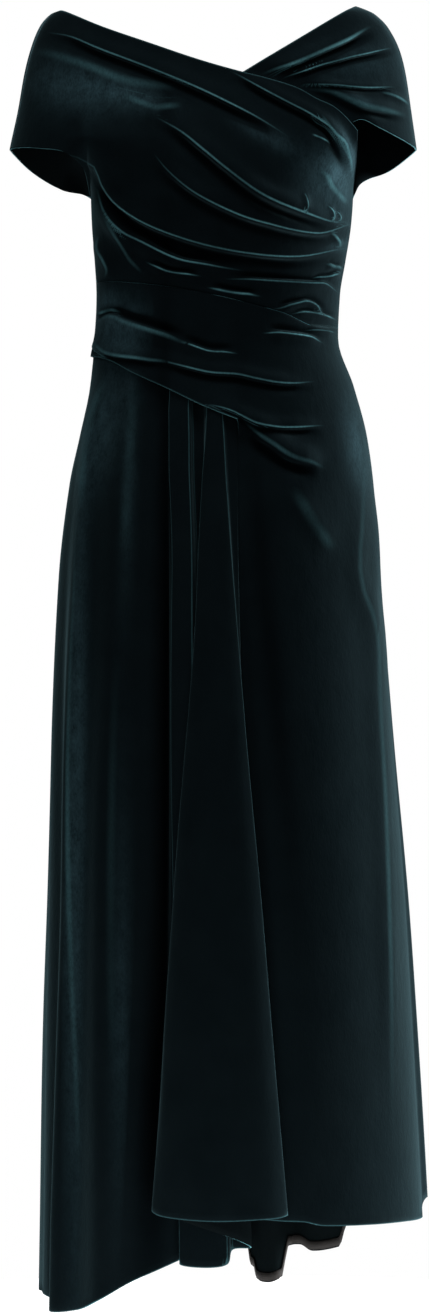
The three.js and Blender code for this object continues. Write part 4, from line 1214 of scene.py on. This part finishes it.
def tape_weave():
    finish = Finish("hem_tape")
    weave = finish.noise(1400, 2)
    return finish.surface({
        "Base Color": finish.between(weave, TAPE_DARK, TAPE_LIGHT),
        "Roughness": weave * 0.15 + 0.65,
        "Normal": finish.bump(weave * 0.0003, 0.5),
    })


backing_finish, tape_finish = backing(), tape_weave()
for piece in (front_over, front_under, back, pleats, drape, skirt_behind):
    for finish in (velvet_finish, backing_finish, rim_highlight_finish):
        piece.data.materials.append(finish)
    piece.modifiers["wall"].material_offset = 1
    # the rims take the finish with the painted highlight
    piece.modifiers["wall"].material_offset_rim = 2
tape.data.materials.append(tape_finish)
print("finishes:", velvet_finish.name, backing_finish.name, tape_finish.name)

# %% [markdown]
# Each piece is a sheet of cloth with the size it was cut to: as wide and as long as it runs
# over its own folds, with an allowance for the seams on every side.

# %% State the cut of each piece
SEAM_ALLOWANCE = 0.010
CUTS = [
    {"piece": front_over, "width": 0.662, "length": 0.344, "edge": 2.0, "held": "gathered", "on": []},
    {"piece": front_under, "width": 0.643, "length": 0.384, "edge": 1.8, "held": "gathered", "on": []},
    {"piece": back, "width": 0.739, "length": 0.376, "edge": 2.1, "held": "stretched", "on": []},
    {"piece": drape, "width": 0.466, "length": 1.002, "edge": 3.0, "held": "draped", "on": [front_over]},
    {"piece": pleats, "width": 0.707, "length": 1.025, "edge": 3.3, "held": "gathered", "on": [drape]},
    {"piece": skirt_behind, "width": 0.836, "length": 1.101, "edge": 3.6, "held": "hung", "on": [back]},
]

whole_cut = 0
for cut in CUTS:
    flat = (cut["width"] + 2 * SEAM_ALLOWANCE, cut["length"] + 2 * SEAM_ALLOWANCE)
    area = cloth_area(cut["piece"]) + cut["edge"] * SEAM_ALLOWANCE
    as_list(cut["on"])
    whole_cut += area
    print(cut["piece"].name, "cut", [round(v, 3) for v in flat], "area", round(area, 3))
print("whole cut:", round(whole_cut, 2), "square metres")

# %% [markdown]
# The dress is shown over a flat pale floor, in soft light from large lamps, against white.
# A flat floor, and no wall behind it, leaves the dress open to view from every side.

# %% Floor
FLOOR_BELOW = 0.06
FLOOR_RADIUS = 0.8


def pale_floor():
    bm = bmesh.new()
    bmesh.ops.create_circle(bm, cap_ends=True, segments=128, radius=FLOOR_RADIUS)
    mesh = bpy.data.meshes.new("floor")
    bm.to_mesh(mesh)
    bm.free()
    mesh.transform(Matrix.Translation((0, 0, solid_box[0][2] - FLOOR_BELOW)))
    floor = bpy.data.objects.new("floor", mesh)
    bpy.context.scene.collection.objects.link(floor)
    mesh.materials.append(paper())


def paper():
    colour = (0.92, 0.92, 0.92, 1)
    return Finish("paper").surface({
        "Base Color": colour, "Roughness": 0.9, "Emission Color": colour, "Emission Strength": 0.9,
    })


pale_floor()
print("floor:", FLOOR_BELOW, "m below the longest hem")

# %% [markdown]
# Velvet shows its folds when light comes along the cloth, so the strongest lamp stands behind
# and to one side. The others only fill: one over the dress, a weak one on the other side, and
# one large soft lamp each for the front and the back. The surroundings look white and give
# little light of their own, so that the folds keep their shade. The camera looks level at the
# middle of the dress through a long lens, so that the shape isn't stretched.

# %% Lamps
LAMPS = [
    {"name": "left_strip", "at": (-2.4, -2.6, -0.5), "aim": (0, 0, -0.65), "size": (0.6, 2.6), "watts": 5},
    {"name": "right_strip", "at": (2.1, 0.8, -0.5), "aim": (0, 0, -0.65), "size": (0.6, 2.6), "watts": 92},
    {"name": "overhead", "at": (0.5, -0.9, 2.0), "aim": (0, 0, -0.4), "size": (1.8, 1.2), "watts": 26},
    {"name": "front_fill", "at": (-0.5, -4.2, 0.5), "aim": (0, 0, -0.6), "size": (1.6, 2.0), "watts": 17},
    {"name": "back_fill", "at": (0.8, 4.2, 0.5), "aim": (0, 0, -0.6), "size": (1.6, 2.0), "watts": 9},
]
SURROUNDINGS_LIGHT = 0.04

for lamp in LAMPS:
    data = bpy.data.lights.new(lamp["name"], "AREA")
    data.shape = "RECTANGLE"
    data.size, data.size_y = lamp["size"]
    data.energy = lamp["watts"]
    light = bpy.data.objects.new(lamp["name"], data)
    light.location = lamp["at"]
    towards = Vector(lamp["aim"]) - Vector(lamp["at"])
    light.rotation_euler = towards.to_track_quat("-Z", "Y").to_euler()
    bpy.context.scene.collection.objects.link(light)


def studio():
    world = bpy.data.worlds.new("studio")
    world.use_nodes = True
    nodes, links = world.node_tree.nodes, world.node_tree.links
    seen = Wire(nodes.new("ShaderNodeLightPath").outputs["Is Camera Ray"])
    strength = seen * (1 - SURROUNDINGS_LIGHT) + SURROUNDINGS_LIGHT
    links.new(strength.socket, nodes["Background"].inputs["Strength"])
    nodes["Background"].inputs["Color"].default_value = (1, 1, 1, 1)
    bpy.context.scene.world = world


studio()
bpy.context.scene.view_settings.view_transform = "Standard"
print("lamps:", sum(lamp["watts"] for lamp in LAMPS), "watts in all")

# %% Camera
FRAME_HEIGHT = 1.418
FRAME_CENTRE = (-0.001, -0.644)
CAMERA_AWAY = 6.0
SENSOR_HEIGHT = 36


def camera():
    data = bpy.data.cameras.new("camera")
    data.sensor_fit = "VERTICAL"
    data.sensor_height = SENSOR_HEIGHT
    data.lens = SENSOR_HEIGHT * CAMERA_AWAY / FRAME_HEIGHT
    data.clip_end = 50
    view = bpy.data.objects.new("camera", data)
    view.location = (FRAME_CENTRE[0], -CAMERA_AWAY, FRAME_CENTRE[1])
    view.rotation_euler = (math.pi / 2, 0, 0)
    bpy.context.scene.collection.objects.link(view)
    bpy.context.scene.camera = view


camera()
print("lens:", round(bpy.context.scene.camera.data.lens), "mm")
